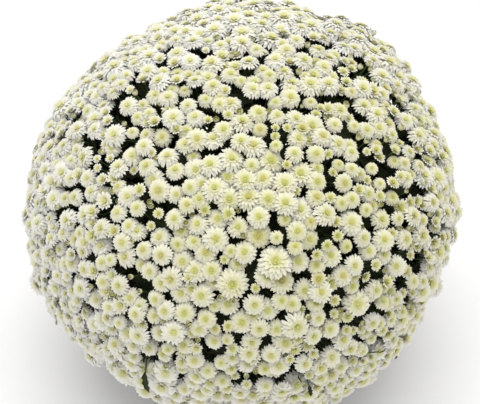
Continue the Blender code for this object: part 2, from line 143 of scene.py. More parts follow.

# Gaps seen in the photograph, read to within a few pixels: each is a stroke from one pixel
# to another, with its width in pixels
SEEN_GAPS = (
    (195, 150, 204, 146, 9), (216, 150, 224, 143, 9), (241, 150, 247, 157, 6), (263, 131, 269, 140, 9),
    (283, 130, 290, 143, 10), (272, 219, 276, 228, 12), (261, 254, 247, 290, 9), (247, 290, 241, 316, 9),
    (326, 231, 334, 235, 13), (306, 251, 311, 256, 8), (297, 287, 304, 278, 8), (264, 294, 272, 300, 10),
    (344, 298, 349, 306, 8), (322, 347, 336, 345, 11), (352, 328, 362, 323, 8), (384, 345, 392, 349, 9),
    (347, 362, 354, 366, 7), (288, 378, 298, 384, 12), (94, 211, 100, 216, 9), (141, 225, 145, 214, 8),
    (160, 207, 176, 206, 8), (154, 265, 166, 268, 10), (87, 256, 88, 265, 6), (116, 277, 126, 273, 8),
    (107, 100, 122, 91, 8), (107, 101, 111, 119, 6), (129, 74, 132, 82, 6), (111, 152, 132, 139, 9),
    (157, 145, 170, 134, 8), (83, 132, 90, 153, 7), (74, 103, 81, 94, 7), (199, 48, 206, 37, 8),
    (299, 49, 309, 45, 9), (233, 79, 240, 87, 10), (283, 76, 281, 89, 7), (241, 92, 247, 98, 9),
    (262, 92, 267, 99, 10), (384, 171, 397, 165, 16), (422, 185, 424, 180, 8), (405, 133, 415, 133, 9),
    (358, 103, 364, 114, 9), (363, 113, 372, 115, 9), (350, 119, 350, 132, 8), (206, 104, 208, 111, 7),
    (307, 195, 308, 189, 8), (144, 367, 158, 366, 9), (203, 357, 205, 367, 8), (213, 318, 224, 324, 12),
    (237, 217, 243, 214, 7), (375, 141, 379, 143, 6), (362, 157, 370, 153, 7), (358, 181, 366, 180, 8),
    (391, 182, 392, 200, 5), (404, 186, 408, 191, 6), (412, 198, 417, 190, 9), (424, 187, 430, 193, 7),
    (392, 204, 398, 211, 9), (374, 221, 379, 231, 13), (427, 208, 428, 210, 6), (445, 168, 448, 173, 5),
    (439, 230, 440, 236, 6), (449, 229, 452, 229, 7), (422, 157, 430, 156, 5), (362, 207, 365, 198, 4),
    (352, 256, 368, 249, 6), (370, 270, 372, 263, 7), (373, 282, 389, 276, 9), (400, 257, 409, 253, 8),
    (402, 245, 403, 246, 6), (410, 261, 412, 262, 6), (415, 262, 427, 263, 11), (431, 267, 433, 278, 6),
    (437, 250, 438, 252, 6), (403, 283, 411, 284, 9), (369, 287, 370, 296, 6), (379, 305, 382, 314, 6),
    (360, 323, 370, 317, 7), (392, 313, 399, 311, 5), (411, 306, 418, 303, 7), (332, 310, 333, 324, 7),
    (347, 308, 348, 309, 7), (384, 318, 388, 320, 7), (399, 334, 405, 336, 8), (394, 342, 397, 340, 8),
    (359, 343, 370, 348, 8), (373, 352, 380, 355, 7), (348, 376, 355, 365, 6), (346, 383, 355, 382, 5),
    (285, 314, 284, 322, 6), (309, 334, 315, 329, 6), (263, 343, 275, 342, 8), (270, 348, 271, 350, 6),
    (232, 344, 239, 351, 6), (303, 350, 304, 352, 5), (259, 359, 261, 362, 5), (297, 361, 298, 363, 5),
    (293, 372, 294, 378, 9), (252, 383, 256, 391, 6), (254, 398, 256, 400, 7),
    (261, 378, 262, 381, 4), (277, 385, 280, 385, 4), (146, 329, 150, 331, 5), (173, 320, 175, 323, 4),
    (147, 343, 160, 349, 7), (171, 360, 173, 371, 5), (216, 358, 225, 358, 5), (203, 343, 208, 336, 4),
    (201, 349, 203, 351, 4), (233, 337, 235, 339, 5), (215, 375, 223, 379, 6), (239, 380, 245, 382, 4),
    (174, 388, 185, 385, 4), (217, 395, 222, 399, 6), (141, 373, 144, 375, 7), (199, 314, 202, 312, 6),
    (235, 132, 236, 133, 4), (238, 169, 242, 162, 4), (233, 187, 234, 182, 4), (217, 174, 221, 165, 4),
    (252, 132, 253, 134, 5), (286, 154, 288, 159, 4), (275, 172, 278, 172, 5), (274, 178, 275, 185, 4),
    (195, 210, 197, 212, 6), (210, 207, 216, 208, 5), (225, 228, 230, 223, 4), (191, 258, 192, 262, 6),
    (217, 253, 220, 259, 7), (223, 268, 229, 272, 6), (232, 246, 239, 244, 4), (202, 240, 204, 241, 4),
    (283, 230, 288, 234, 7), (280, 245, 284, 242, 6), (271, 247, 273, 247, 5), (297, 282, 299, 286, 8),
    (283, 312, 287, 316, 6), (217, 319, 218, 321, 7), (198, 313, 200, 314, 5), (304, 89, 305, 99, 9),
    (305, 100, 311, 108, 7), (325, 96, 345, 92, 12), (328, 114, 331, 126, 7), (337, 131, 338, 132, 4),
    (362, 130, 368, 136, 6), (375, 141, 376, 138, 6), (310, 152, 314, 162, 7), (335, 158, 352, 159, 6),
    (331, 163, 330, 171, 8), (340, 177, 346, 171, 5), (337, 178, 334, 190, 8), (295, 124, 297, 125, 5),
    (291, 136, 292, 139, 6), (395, 139, 394, 146, 5), (339, 208, 344, 216, 7), (293, 215, 294, 220, 4),
    (349, 239, 358, 238, 4), (338, 248, 345, 248, 4), (344, 250, 347, 260, 4), (340, 270, 364, 251, 5),
    (333, 272, 338, 270, 8), (287, 240, 289, 255, 6), (324, 260, 326, 252, 5), (296, 279, 313, 275, 7),
    (313, 263, 315, 264, 4), (184, 46, 192, 47, 5), (182, 42, 187, 46, 6),
    (239, 55, 241, 50, 5), (271, 38, 270, 48, 7), (258, 56, 267, 51, 5), (222, 75, 223, 80, 5),
    (187, 89, 189, 91, 5), (202, 121, 206, 128, 7), (268, 115, 271, 129, 7), (283, 118, 283, 132, 6),
    (288, 119, 290, 121, 5), (286, 104, 293, 107, 6), (166, 38, 164, 47, 6), (164, 48, 165, 56, 5),
    (139, 84, 147, 77, 5), (136, 87, 137, 88, 4), (154, 60, 153, 68, 4), (174, 87, 178, 97, 7),
    (182, 92, 190, 87, 5), (103, 129, 105, 129, 4), (122, 118, 128, 124, 6),
    (152, 106, 154, 113, 5), (170, 140, 175, 150, 6), (177, 155, 184, 163, 8), (155, 169, 157, 171, 6),
    (134, 163, 138, 155, 4), (91, 150, 90, 166, 7), (99, 164, 100, 171, 6), (93, 177, 95, 175, 5),
    (182, 169, 182, 179, 5), (165, 182, 168, 183, 5), (119, 179, 125, 180, 6), (131, 219, 137, 220, 6),
    (142, 239, 145, 233, 5), (105, 242, 110, 252, 6), (130, 249, 131, 251, 5), (164, 228, 169, 234, 5),
    (185, 240, 187, 232, 4), (190, 253, 193, 262, 7), (153, 222, 158, 228, 6),
    (125, 286, 143, 283, 9), (138, 299, 145, 292, 5), (104, 272, 107, 267, 5), (179, 275, 180, 282, 4),
    (194, 286, 202, 285, 4), (168, 302, 174, 310, 5), (122, 315, 127, 324, 6), (156, 317, 158, 319, 5),
    (181, 328, 183, 330, 5), (112, 331, 116, 336, 7), (42, 242, 42, 247, 7), (59, 252, 61, 257, 6),
    (63, 272, 70, 277, 5), (86, 281, 95, 298, 5), (56, 290, 56, 303, 4),
    (78, 308, 96, 318, 5), (53, 324, 56, 322, 5), (43, 200, 44, 202, 5), (64, 210, 66, 212, 5),
    (52, 215, 54, 218, 6), (49, 229, 51, 226, 4), (76, 197, 78, 199, 4), (105, 183, 107, 184, 4),
    (59, 116, 69, 119, 4), (82, 120, 83, 123, 5), (56, 138, 61, 131, 5), (77, 142, 79, 145, 4),
    (371, 66, 375, 74, 9), (396, 89, 398, 96, 5), (414, 92, 419, 99, 6),
    (400, 101, 412, 108, 6), (415, 138, 417, 144, 6), (422, 146, 423, 155, 5),
    (325, 25, 331, 29, 6), (308, 34, 322, 37, 4), (332, 41, 343, 34, 6),
    (362, 51, 368, 61, 8), (354, 73, 362, 70, 7), (347, 61, 348, 62, 4), (100, 342, 104, 349, 5),
    (114, 364, 121, 368, 7), (81, 329, 82, 330, 4),
)
# Blooms seen in the photograph, read in the same way: the pixel of each one's middle, and its
# width in pixels
SEEN_BLOOMS = (
    (196, 137, 19), (212, 136, 21), (210, 164, 20), (231, 157, 22), (241, 140, 18), (254, 144, 22),
    (277, 144, 13), (277, 133, 10), (272, 158, 24), (252, 164, 13), (227, 175, 20), (246, 179, 22),
    (264, 178, 21), (286, 183, 21), (214, 188, 20), (194, 168, 18), (200, 183, 18), (198, 199, 16),
    (228, 199, 21), (249, 197, 22), (269, 199, 20), (286, 203, 20), (203, 210, 12), (216, 220, 19),
    (229, 214, 12), (238, 211, 7), (259, 217, 22), (287, 220, 13), (196, 225, 18), (238, 228, 20),
    (296, 152, 18), (288, 164, 10), (299, 191, 12), (215, 240, 21), (192, 243, 17), (204, 254, 20),
    (259, 237, 22), (277, 238, 13), (230, 253, 13), (245, 254, 19), (224, 262, 9), (237, 267, 18),
    (210, 273, 19), (276, 263, 27), (268, 279, 20), (283, 285, 21), (232, 287, 26), (212, 287, 16),
    (200, 299, 20), (220, 300, 7), (256, 292, 10), (227, 310, 19), (213, 311, 13), (255, 308, 21),
    (282, 303, 18), (294, 307, 16), (269, 315, 19), (205, 323, 20), (299, 232, 19), (297, 248, 16),
    (163, 314, 20), (182, 317, 20), (150, 321, 15), (172, 335, 21), (156, 339, 18), (197, 334, 17),
    (189, 339, 12), (214, 334, 10), (227, 331, 12), (242, 328, 22), (227, 343, 13), (213, 347, 18),
    (197, 343, 7), (195, 352, 11), (182, 351, 17), (166, 353, 14), (232, 354, 11), (160, 361, 17),
    (193, 365, 17), (232, 364, 14), (221, 368, 14), (163, 378, 24), (180, 368, 12), (179, 376, 13),
    (207, 376, 17), (231, 375, 13), (195, 383, 20), (222, 387, 15), (183, 394, 15), (206, 395, 15),
    (235, 385, 9), (240, 397, 16), (260, 332, 16), (278, 333, 17), (297, 328, 24), (320, 321, 16),
    (315, 339, 19), (333, 333, 17), (252, 347, 17), (249, 357, 17), (287, 349, 22), (272, 359, 17),
    (300, 344, 10), (248, 372, 18), (280, 371, 20), (266, 374, 14), (306, 368, 17), (316, 359, 10),
    (334, 361, 19), (291, 363, 9), (266, 390, 15), (283, 394, 18), (323, 383, 18), (337, 393, 15),
    (247, 388, 9), (319, 307, 16), (304, 315, 9), (304, 388, 8), (311, 380, 9), (338, 304, 12),
    (337, 318, 10), (361, 307, 24), (351, 320, 12), (386, 304, 16), (402, 302, 13), (407, 315, 14),
    (396, 323, 16), (376, 326, 18), (350, 334, 11), (358, 335, 9), (367, 335, 10), (387, 334, 13),
    (377, 344, 14), (352, 351, 17), (366, 356, 14), (366, 365, 10), (409, 297, 10), (420, 297, 10),
    (402, 347, 13), (390, 367, 13), (375, 370, 13), (376, 363, 10), (360, 375, 17), (355, 389, 12),
    (343, 379, 9), (411, 326, 10), (418, 312, 8), (423, 304, 6), (376, 297, 18), (368, 239, 17),
    (351, 248, 14), (388, 241, 19), (399, 236, 12), (410, 240, 18), (427, 236, 19), (425, 249, 10),
    (375, 253, 16), (390, 257, 16), (416, 257, 10), (357, 267, 18), (379, 267, 11),
    (389, 273, 7), (401, 268, 18), (411, 270, 14), (368, 278, 12), (397, 280, 11), (417, 283, 15),
    (427, 283, 16), (358, 290, 15), (379, 292, 17), (393, 292, 13), (437, 270, 20), (446, 238, 12),
    (429, 254, 9), (355, 151, 18), (371, 150, 9), (381, 148, 12), (386, 155, 12),
    (398, 150, 12), (415, 150, 14), (402, 159, 14), (410, 162, 14), (424, 165, 14), (355, 168, 14),
    (367, 172, 16), (376, 167, 13), (405, 176, 11), (412, 177, 17), (432, 175, 21), (385, 183, 13),
    (397, 183, 12), (372, 179, 9), (363, 190, 12), (374, 193, 15), (400, 197, 14), (385, 196, 11),
    (412, 191, 7), (423, 200, 12), (437, 202, 17), (356, 199, 15), (380, 205, 13), (370, 210, 13),
    (389, 220, 18), (403, 219, 14), (417, 216, 18), (431, 221, 14), (356, 223, 22), (442, 223, 11),
    (302, 25, 18), (310, 16, 12), (298, 36, 16), (326, 31, 16), (310, 40, 8), (320, 46, 16),
    (347, 42, 20), (333, 52, 17), (305, 57, 18), (326, 63, 18), (348, 56, 10), (376, 57, 16),
    (347, 67, 11), (357, 62, 11), (308, 69, 10), (332, 79, 20), (312, 81, 22), (386, 73, 20),
    (366, 85, 20), (350, 78, 12), (353, 90, 13), (314, 97, 14), (292, 94, 18), (378, 76, 7),
    (386, 91, 16), (80, 156, 20), (66, 159, 14), (52, 163, 16), (37, 157, 14), (94, 158, 9),
    (94, 167, 9), (105, 157, 10), (115, 166, 18), (82, 177, 16), (99, 179, 12), (66, 177, 15),
    (85, 191, 18), (94, 193, 15), (114, 186, 14), (123, 196, 19), (68, 197, 16), (58, 198, 14),
    (34, 203, 15), (33, 173, 14), (114, 213, 16), (125, 227, 16), (98, 229, 17), (86, 225, 12),
    (74, 234, 13), (78, 244, 20), (94, 248, 19), (47, 239, 16), (59, 234, 14), (120, 243, 18),
    (43, 219, 14), (72, 325, 13), (66, 314, 12), (90, 328, 17), (104, 321, 16), (117, 325, 13),
    (90, 337, 9), (80, 336, 9), (134, 316, 16), (113, 347, 17), (137, 337, 18), (131, 349, 15),
    (144, 355, 16), (130, 362, 13), (85, 346, 10), (70, 340, 11), (132, 377, 10), (125, 352, 9),
    (99, 353, 10), (103, 337, 9), (298, 115, 17), (304, 103, 6), (324, 104, 9), (320, 110, 10),
    (315, 122, 22), (332, 105, 12), (343, 108, 17), (368, 102, 18), (380, 112, 20), (338, 122, 15),
    (357, 124, 13), (354, 114, 10), (371, 127, 17), (384, 125, 18), (301, 135, 20), (324, 135, 18),
    (341, 142, 19), (356, 142, 15), (319, 152, 19), (331, 152, 9), (342, 163, 13), (338, 171, 10),
    (321, 166, 14), (304, 172, 22), (319, 181, 18), (385, 141, 14), (392, 102, 13), (348, 182, 18),
    (369, 140, 8), (319, 197, 17), (304, 210, 22), (328, 214, 20), (334, 198, 12), (345, 203, 16),
    (314, 222, 14), (313, 241, 18), (341, 223, 12), (341, 237, 12), (330, 247, 12), (319, 256, 12),
    (335, 258, 18), (302, 265, 19), (321, 269, 17), (346, 278, 18), (192, 37, 18), (206, 34, 16),
    (220, 42, 16), (242, 38, 20), (257, 47, 14), (265, 43, 10), (288, 45, 19), (205, 47, 9),
    (211, 59, 20), (189, 58, 18), (231, 52, 8), (249, 59, 17), (276, 56, 18), (264, 64, 16),
    (286, 65, 17), (230, 69, 17), (193, 76, 16), (212, 82, 18), (241, 74, 14), (253, 85, 18),
    (269, 84, 18), (225, 85, 12), (204, 93, 14), (219, 101, 14), (230, 99, 18), (270, 73, 14),
    (278, 96, 14), (186, 102, 15), (193, 113, 18), (259, 109, 17), (279, 112, 18), (228, 112, 10),
    (242, 118, 20), (207, 118, 10), (215, 116, 8), (261, 125, 16), (277, 125, 9), (288, 126, 10),
    (223, 127, 18), (270, 106, 7), (132, 59, 16), (145, 67, 18), (142, 46, 18), (158, 38, 17),
    (157, 54, 12), (160, 66, 14), (174, 66, 16), (186, 34, 12), (174, 36, 14), (165, 94, 17),
    (168, 83, 14), (181, 83, 14), (118, 81, 13), (125, 84, 9), (122, 70, 14), (108, 88, 13),
    (151, 90, 16), (125, 103, 17), (138, 100, 14), (101, 109, 12), (100, 85, 14), (171, 115, 19),
    (145, 109, 14), (133, 113, 14), (153, 121, 12), (129, 130, 13), (142, 131, 14), (157, 132, 16),
    (183, 126, 14), (111, 133, 20), (104, 119, 11), (120, 121, 8), (142, 145, 16), (148, 151, 9),
    (128, 154, 17), (165, 155, 18), (183, 142, 16), (190, 153, 14), (105, 145, 15), (144, 165, 18),
    (128, 168, 9), (173, 169, 20), (137, 190, 12), (157, 190, 20), (173, 194, 15), (189, 187, 15),
    (186, 205, 16), (134, 208, 15), (149, 206, 8), (173, 219, 17), (148, 227, 10), (157, 214, 11),
    (178, 232, 19), (132, 233, 16), (156, 239, 18), (141, 251, 16), (175, 246, 15), (121, 259, 18),
    (160, 256, 20), (179, 264, 20), (136, 268, 14), (146, 274, 18), (169, 281, 20), (193, 274, 20),
    (187, 281, 11), (158, 286, 17), (178, 297, 19), (128, 279, 8), (137, 294, 8), (115, 288, 17),
    (125, 302, 16), (152, 303, 15), (136, 310, 14), (107, 309, 15), (115, 300, 10), (107, 261, 14),
    (160, 327, 10), (188, 328, 7), (34, 257, 16), (36, 243, 10), (51, 251, 15), (47, 261, 14),
    (78, 253, 12), (66, 256, 12), (98, 264, 15), (80, 271, 17), (54, 277, 13), (62, 278, 10),
    (38, 272, 13), (99, 284, 16), (78, 290, 18), (72, 295, 13), (41, 291, 14), (46, 292, 9),
    (60, 297, 10), (89, 304, 17), (70, 308, 13), (48, 310, 16), (80, 318, 13), (50, 319, 9),
    (51, 327, 9), (53, 127, 13), (72, 94, 12), (66, 91, 10), (65, 108, 11), (83, 108, 16),
    (92, 93, 14), (101, 85, 14), (73, 127, 18), (90, 127, 17), (60, 144, 17), (71, 148, 13),
    (94, 72, 12), (45, 132, 12), (64, 123, 9), (99, 142, 12), (397, 63, 14), (402, 82, 15),
    (404, 96, 12), (409, 93, 10), (411, 117, 18), (419, 94, 9), (419, 106, 14), (397, 132, 14),
    (405, 126, 8), (423, 134, 18), (409, 140, 9), (427, 147, 12), (435, 150, 12), (402, 146, 11),
)
# Leaves seen to hang out of the bush: from one pixel to another
SEEN_LEAVES = ((145, 374, 148, 393), (309, 386, 311, 396), (379, 352, 386, 349))

# A seen bloom is full or a bud by its width in pixels, and half open between. It is drawn a little
# larger than it was read, and shrinks where it would lap a gap.
FULL_FROM = 12.5
BUD_UNDER = 8.5
SEEN_SPREAD = 1.07
SEEN_CLEARANCE = 0.66
LEAST_SEEN = 0.86

# A pixel's place on the bush is found by a few rounds of aiming, until it is this close
AIM_ROUNDS = 6
AIM_CLOSE = 0.8

# Gaps: the step along a stroke in pixels, the tries for more gaps by the rule, which keeps those
# on the side turned from the camera, and the share of its reach that a thrown bloom keeps clear
STROKE_STEP = 4.0
OTHER_GAPS = 170
OTHER_GAP_RADII = (0.0045, 0.0095)
TURNED_AWAY = -0.15
GAP_CLEARANCE = 0.56

# A stem rises to its spray's hub, twigs part there, and each twig's end carries a few spots'
# stalks. Each kind has its radii at both ends, its steps along, its sides round and its tone.
HUB_DEPTH = 0.120
HUB_OVER_RIM = 0.020
TWIG_DEPTH = 0.062
SPOTS_A_TWIG = 7
GROUPING_ROUNDS = 4
STEM = ((0.0040, 0.0026), 9, 8, 0.25)
TWIG = ((0.0019, 0.0013), 6, 5, 0.40)
STALK = ((0.0011, 0.0009), 5, 3, 0.55)
BEND_REACH = 0.38
FOOT_SLICE = 0.002

# Calyxes: rings of (radius, height), with the odd points of the last ring raised. A stalk ends at
# a calyx's foot.
CALYX_PROFILE = ((0.07, -0.36), (0.24, -0.22), (0.26, 0.04))
CALYX_SIDES = 6
CALYX_NOTCH = 0.05
CALYX_TONE = 0.6
CALYX_FOOT = 0.34

# Leaves. Angles are in degrees, and shares are of the leaf's length or its stalk's.
LEAF_LENGTHS = (0.030, 0.046)
LEAF_WIDTH_SHARE = 0.62
LEAF_STATIONS = (0.0, 0.14, 0.27, 0.38, 0.50, 0.60, 0.74, 0.84, 1.0)
LEAF_WIDTHS = (0.10, 0.46, 0.86, 0.58, 1.00, 0.60, 0.78, 0.40)
LEAF_RISES = (15.0, 40.0)
LEAF_FALLS = (-45.0, -10.0)
LEAF_KEELS = (0.12, 0.40)
LEAF_ROOT_TONES = (0.2, 0.5)
LEAF_TIP_TONES = (0.4, 0.9)
LEAF_TONE_SHIFTS = (-0.15, 0.15)
LEAF_WAVES = 17.0
LEAF_WAVE_STARTS = (0.0, 6.0)
LEAF_WAVE_HEIGHT = 0.022
LOBE_SWEEP = 0.10
LEAF_ROOTS = (0.05, 0.50)
LEAF_LEANS = (70.0, 96.0)
LEAF_TILT = 0.30
LEAVES_A_STALK = 0.90
LEAF_VARIANTS = 10
HANGING_WIDTH = 0.80
VEIN_WIDTH = 0.07
VEIN_SHARE = 0.4
SIDE_VEINS = 7.0

# Petals: stations along them and widths there, and how uneven they are. Turns are shares of the
# step round, lengths and spreads are factors, droops, rises and falls are degrees, and rolls are
# radians. A heart has its peak and its shoulder as shares of its height and its radius.
PETAL_STATIONS = (0.0, 0.42, 0.80, 1.0)
PETAL_WIDTHS = (0.55, 1.00, 0.84)
SHORT_STATIONS = (0.0, 0.64, 1.0)
SHORT_WIDTHS = (0.60, 0.95)
PETAL_KEEL = 0.10
PETAL_TURNS = (-0.22, 0.22)
PETAL_LENGTHS = (0.88, 1.07)
PETAL_SPREADS = (0.90, 1.10)
PETAL_RISES = (-4.0, 4.0)
PETAL_FALLS = (-7.0, 7.0)
PETAL_ROLLS = (-0.14, 0.14)
BLOOM_DROOPS = (-14.0, 16.0)
PETAL_PATCHINESS = 0.16
PETAL_RIDGES = 11.0
BROWNING_EDGE = 1.3
HEART_SIDES = 6
HEART_PEAK = 1.25
HEART_SHOULDER = 0.75

# Ways that nothing here points straight along, to measure turns from
ASKEW = (0.31, 0.83, 0.47)
TUBE_ASKEW = (0.37, 0.52, 0.77)

# The pot and its soil, as the frame has them. The floor's edge and its corner are measured from the
# inner foot of the wall. The soil's lip is where its side starts to draw in.
POT_BASE_RADIUS = 0.076
POT_WALL = 0.0022
POT_FLOOR = 0.003
FLOOR_EDGE = 0.004
FLOOR_CORNER = 0.003
BASE_CORNER = 0.002
RIM_DEPTH = 0.020
RIM_PROUD = 0.0028
RIM_SOFTNESS = 0.0011
UNDER_RIM = 0.0006
RIM_STEPS = 4
CORNER_STEPS = 5
WALL_LEAN = 8.0
POT_TURNS = 96
WELD_REACH = 0.00002
SHARP_ANGLE = math.radians(40.0)
DRAINS = 4
DRAIN_RING = 0.052
DRAIN_RADIUS = 0.005
DRAIN_SIDES = 32
DRAIN_CUT = 0.02
SOIL_RINGS = 46
SOIL_LIP = 0.004
SOIL_PLAY = 0.001
CRUMBS = (-0.0022, 0.0004)


@dataclass
class Shape:
    """Triangles, each with its material's number; each point has a tone, how far along and across
    its petal or leaf it is, and an age."""

    points: np.ndarray
    faces: np.ndarray
    tone: np.ndarray
    along: np.ndarray
    across: np.ndarray
    kind: np.ndarray
    age: float = 0.0


@dataclass
class Spot:
    """Where one bloom, half-open bloom, bud or hanging leaf sits; home is its spray's number."""

    form: str
    place: np.ndarray
    facing: np.ndarray
    reach: float
    home: int = -1


def unit(vector):
    return vector / np.linalg.norm(vector)


def between(limits, share):
    low, high = limits
    return low + (high - low) * share


def joined(shapes):
    """One shape of several, with its own age at each of its points."""
    counts = [len(shape.points) for shape in shapes]
    starts = np.cumsum([0] + counts[:-1])
    stacked = {
        label: np.concatenate([getattr(shape, label) for shape in shapes])
        for label in ("points", "tone", "along", "across", "kind")
    }
    faces = np.concatenate([shape.faces + start for shape, start in zip(shapes, starts)])
    ages = np.repeat([float(shape.age) for shape in shapes], counts)
    return Shape(faces=faces, age=ages, **stacked)


def moved(shape, matrix, offset, tone_scale=1.0, tone_shift=0.0, age=0.0):
    tone = np.clip(shape.tone * tone_scale + tone_shift, 0.0, 1.0)
    points = shape.points @ matrix.T + offset
    return Shape(points, shape.faces, tone, shape.along, shape.across, shape.kind, age)


def frame_of(facing, spin):
    """A turn that takes +Z to facing, after a spin about it."""
    side = unit(np.cross(facing, ASKEW))
    other = np.cross(facing, side)
    first = side * math.cos(spin) + other * math.sin(spin)
    return np.column_stack([first, np.cross(facing, first), facing])


def strip_faces(rows, columns):
    """Triangles between rows of points, the last row being one point."""
    faces = []
    for row in range(rows - 1):
        for column in range(columns - 1):
            a = columns * row + column
            if row < rows - 2:
                faces.append((a, a + 1, a + columns))
                faces.append((a + 1, a + columns + 1, a + columns))
            else:
                faces.append((a, a + 1, columns * (rows - 1)))
    return np.array(faces)


def blade(length, half_width, stations, widths, rise, fall, keel, tones, columns=3):
    """A petal or leaf along +X: rows of points, which lean from rise to fall, then its tip."""
    lengths = np.diff(stations) * length
    middles = (np.array(stations[1:]) + np.array(stations[:-1])) / 2.0
    angles = rise + (fall - rise) * middles
    x = np.concatenate([[0.0], np.cumsum(lengths * np.cos(angles))])
    z = np.concatenate([[0.0], np.cumsum(lengths * np.sin(angles))])
    points, tone, along, across = [], [], [], []
    for row, station in enumerate(stations):
        lean = rise + (fall - rise) * station
        middle = np.array((x[row], 0.0, z[row]))
        lift = np.array((-math.sin(lean), 0.0, math.cos(lean)))
        row_tone = tones[0] + (tones[1] - tones[0]) * station
        if row == len(stations) - 1:
            places = [(middle, 0.0)]
        else:
            width = half_width * widths[row]
            side = np.array((0.0, width, 0.0)) + lift * width * keel
            other = np.array((0.0, -width, 0.0)) + lift * width * keel
            places = [(middle + side, 1.0), (middle, 0.0), (middle + other, -1.0)]
            if columns == 2:
                del places[1]
        for place, away in places:
            points.append(place)
            tone.append(row_tone)
            along.append(station)
            across.append(away)
    faces = strip_faces(len(stations), columns)
    return Shape(
        np.array(points), faces, np.array(tone), np.array(along), np.array(across),
        np.zeros(len(faces), int),
    )


@dataclass
class Ring:
    """One ring of petals: sizes are shares of the bloom's reach, and angles are in degrees. Short
    petals have fewer stations, and flat ones no fold along the middle."""

    petals: int
    root: float
    height: float
    length: float
    width: float
    rise: float
    fall: float
    tones: tuple
    short: bool = False
    flat: bool = False


# The full bloom's petals are yellower towards their roots: partly their own cream, and partly painted
# warm shade for the light that comes through the petals into the gaps between them.
FULL_RINGS = (
    Ring(21, 0.16, 0.00, 1.10, 0.28, 34.0, -70.0, (0.66, 1.00)),
    Ring(19, 0.15, 0.05, 0.98, 0.28, 38.0, -48.0, (0.62, 1.00), True),
    Ring(16, 0.13, 0.10, 0.80, 0.26, 44.0, -22.0, (0.52, 0.96), False, True),
    Ring(13, 0.10, 0.15, 0.58, 0.23, 52.0, 4.0, (0.36, 0.82), True, True),
    Ring(9, 0.06, 0.19, 0.36, 0.17, 64.0, 32.0, (0.18, 0.54), True, True),
)
HALF_RINGS = (
    Ring(15, 0.20, 0.00, 1.12, 0.38, 64.0, -6.0, (0.52, 0.94), False, True),
    Ring(13, 0.17, 0.14, 0.90, 0.35, 70.0, 20.0, (0.36, 0.70), False, True),
    Ring(9, 0.12, 0.28, 0.62, 0.30, 78.0, 48.0, (0.28, 0.52), True, True),
    Ring(6, 0.06, 0.36, 0.44, 0.26, 86.0, 76.0, (0.20, 0.38), True, True),
)
BUD_RINGS = (
    Ring(11, 0.50, 0.00, 1.15, 0.62, 58.0, 116.0, (0.48, 0.84), True),
    Ring(7, 0.22, 0.34, 0.66, 0.46, 70.0, 112.0, (0.26, 0.46), True, True),
)
# Each form's rings, its heart's radius, height and tone, and its number of templates
RINGS = {"full": FULL_RINGS, "half": HALF_RINGS, "bud": BUD_RINGS}
HEARTS = {"full": (0.17, 0.38, 0.31), "half": (0.27, 0.62, 0.34), "bud": (0.40, 0.68, 0.26)}
VARIANTS = {"full": 10, "half": 8, "bud": 5}


def ring_points(radius, height, sides):
    """Points evenly round the Z axis."""
    turns = [math.tau * side / sides for side in range(sides)]
    return [(radius * math.cos(turn), radius * math.sin(turn), height) for turn in turns]


def ring_pairs(rings, sides):
    """The numbers of each point and the next one round, on all rings but the last."""
    for ring in range(rings - 1):
        for number in range(sides):
            yield ring * sides + number, ring * sides + (number + 1) % sides


def heart(radius, height, tone):
    """The small dome in the middle of a bloom."""
    points = [(0.0, 0.0, height * HEART_PEAK)]
    points += ring_points(radius * HEART_SHOULDER, height, HEART_SIDES)
    points += ring_points(radius, 0.0, HEART_SIDES)
    faces = []
    for side in range(HEART_SIDES):
        upper, upper_next = 1 + side, 1 + (side + 1) % HEART_SIDES
        lower, lower_next = upper + HEART_SIDES, upper_next + HEART_SIDES
        faces.append((0, upper, upper_next))
        faces.append((upper, lower, upper_next))
        faces.append((upper_next, lower, lower_next))
    count = len(points)
    return Shape(
        np.array(points), np.array(faces), np.full(count, tone), np.zeros(count),
        np.zeros(count), np.zeros(len(faces), int),
    )


def bloom_template(form):
    """One bloom of reach 1, facing +Z, with its petals a little uneven."""
    shapes = [heart(*HEARTS[form])]
    droop = draw.uniform(*BLOOM_DROOPS)
    for ring in RINGS[form]:
        start = draw.uniform(0.0, math.tau)
        for number in range(ring.petals):
            turn = start + math.tau * (number + draw.uniform(*PETAL_TURNS)) / ring.petals
            length = ring.length * draw.uniform(*PETAL_LENGTHS)
            rise = math.radians(ring.rise + draw.uniform(*PETAL_RISES))
            fall = math.radians(ring.fall + droop + draw.uniform(*PETAL_FALLS))
            petal = blade(
                length,
                0.5 * ring.width * draw.uniform(*PETAL_SPREADS),
                SHORT_STATIONS if ring.short else PETAL_STATIONS,
                SHORT_WIDTHS if ring.short else PETAL_WIDTHS,
                rise,
                fall,
                PETAL_KEEL,
                ring.tones,
                2 if ring.flat else 3,
            )
            roll = draw.uniform(*PETAL_ROLLS)
            rolled = np.array((
                (1.0, 0.0, 0.0),
                (0.0, math.cos(roll), -math.sin(roll)),
                (0.0, math.sin(roll), math.cos(roll)),
            ))
            cosine, sine = math.cos(turn), math.sin(turn)
            turned = np.array(((cosine, -sine, 0.0), (sine, cosine, 0.0), (0.0, 0.0, 1.0)))
            offset = np.array((ring.root * cosine, ring.root * sine, ring.height))
            shapes.append(moved(petal, turned @ rolled, offset))
    return joined(shapes)


def leaf_template():
    """One lobed leaf of length 1 along +X, arched, folded at its midrib and a little waved."""
    leaf = blade(
        1.0, 0.5 * LEAF_WIDTH_SHARE, LEAF_STATIONS, LEAF_WIDTHS,
        math.radians(draw.uniform(*LEAF_RISES)), math.radians(draw.uniform(*LEAF_FALLS)),
        draw.uniform(*LEAF_KEELS), (draw.uniform(*LEAF_ROOT_TONES), draw.uniform(*LEAF_TIP_TONES)),
    )
    wave = np.sin(leaf.along * LEAF_WAVES + draw.uniform(*LEAF_WAVE_STARTS)) * np.abs(leaf.across)
    leaf.points[:, 2] += LEAF_WAVE_HEIGHT * wave
    leaf.points[:, 0] += -LOBE_SWEEP * np.abs(leaf.across) * (1.0 - leaf.along)
    return leaf


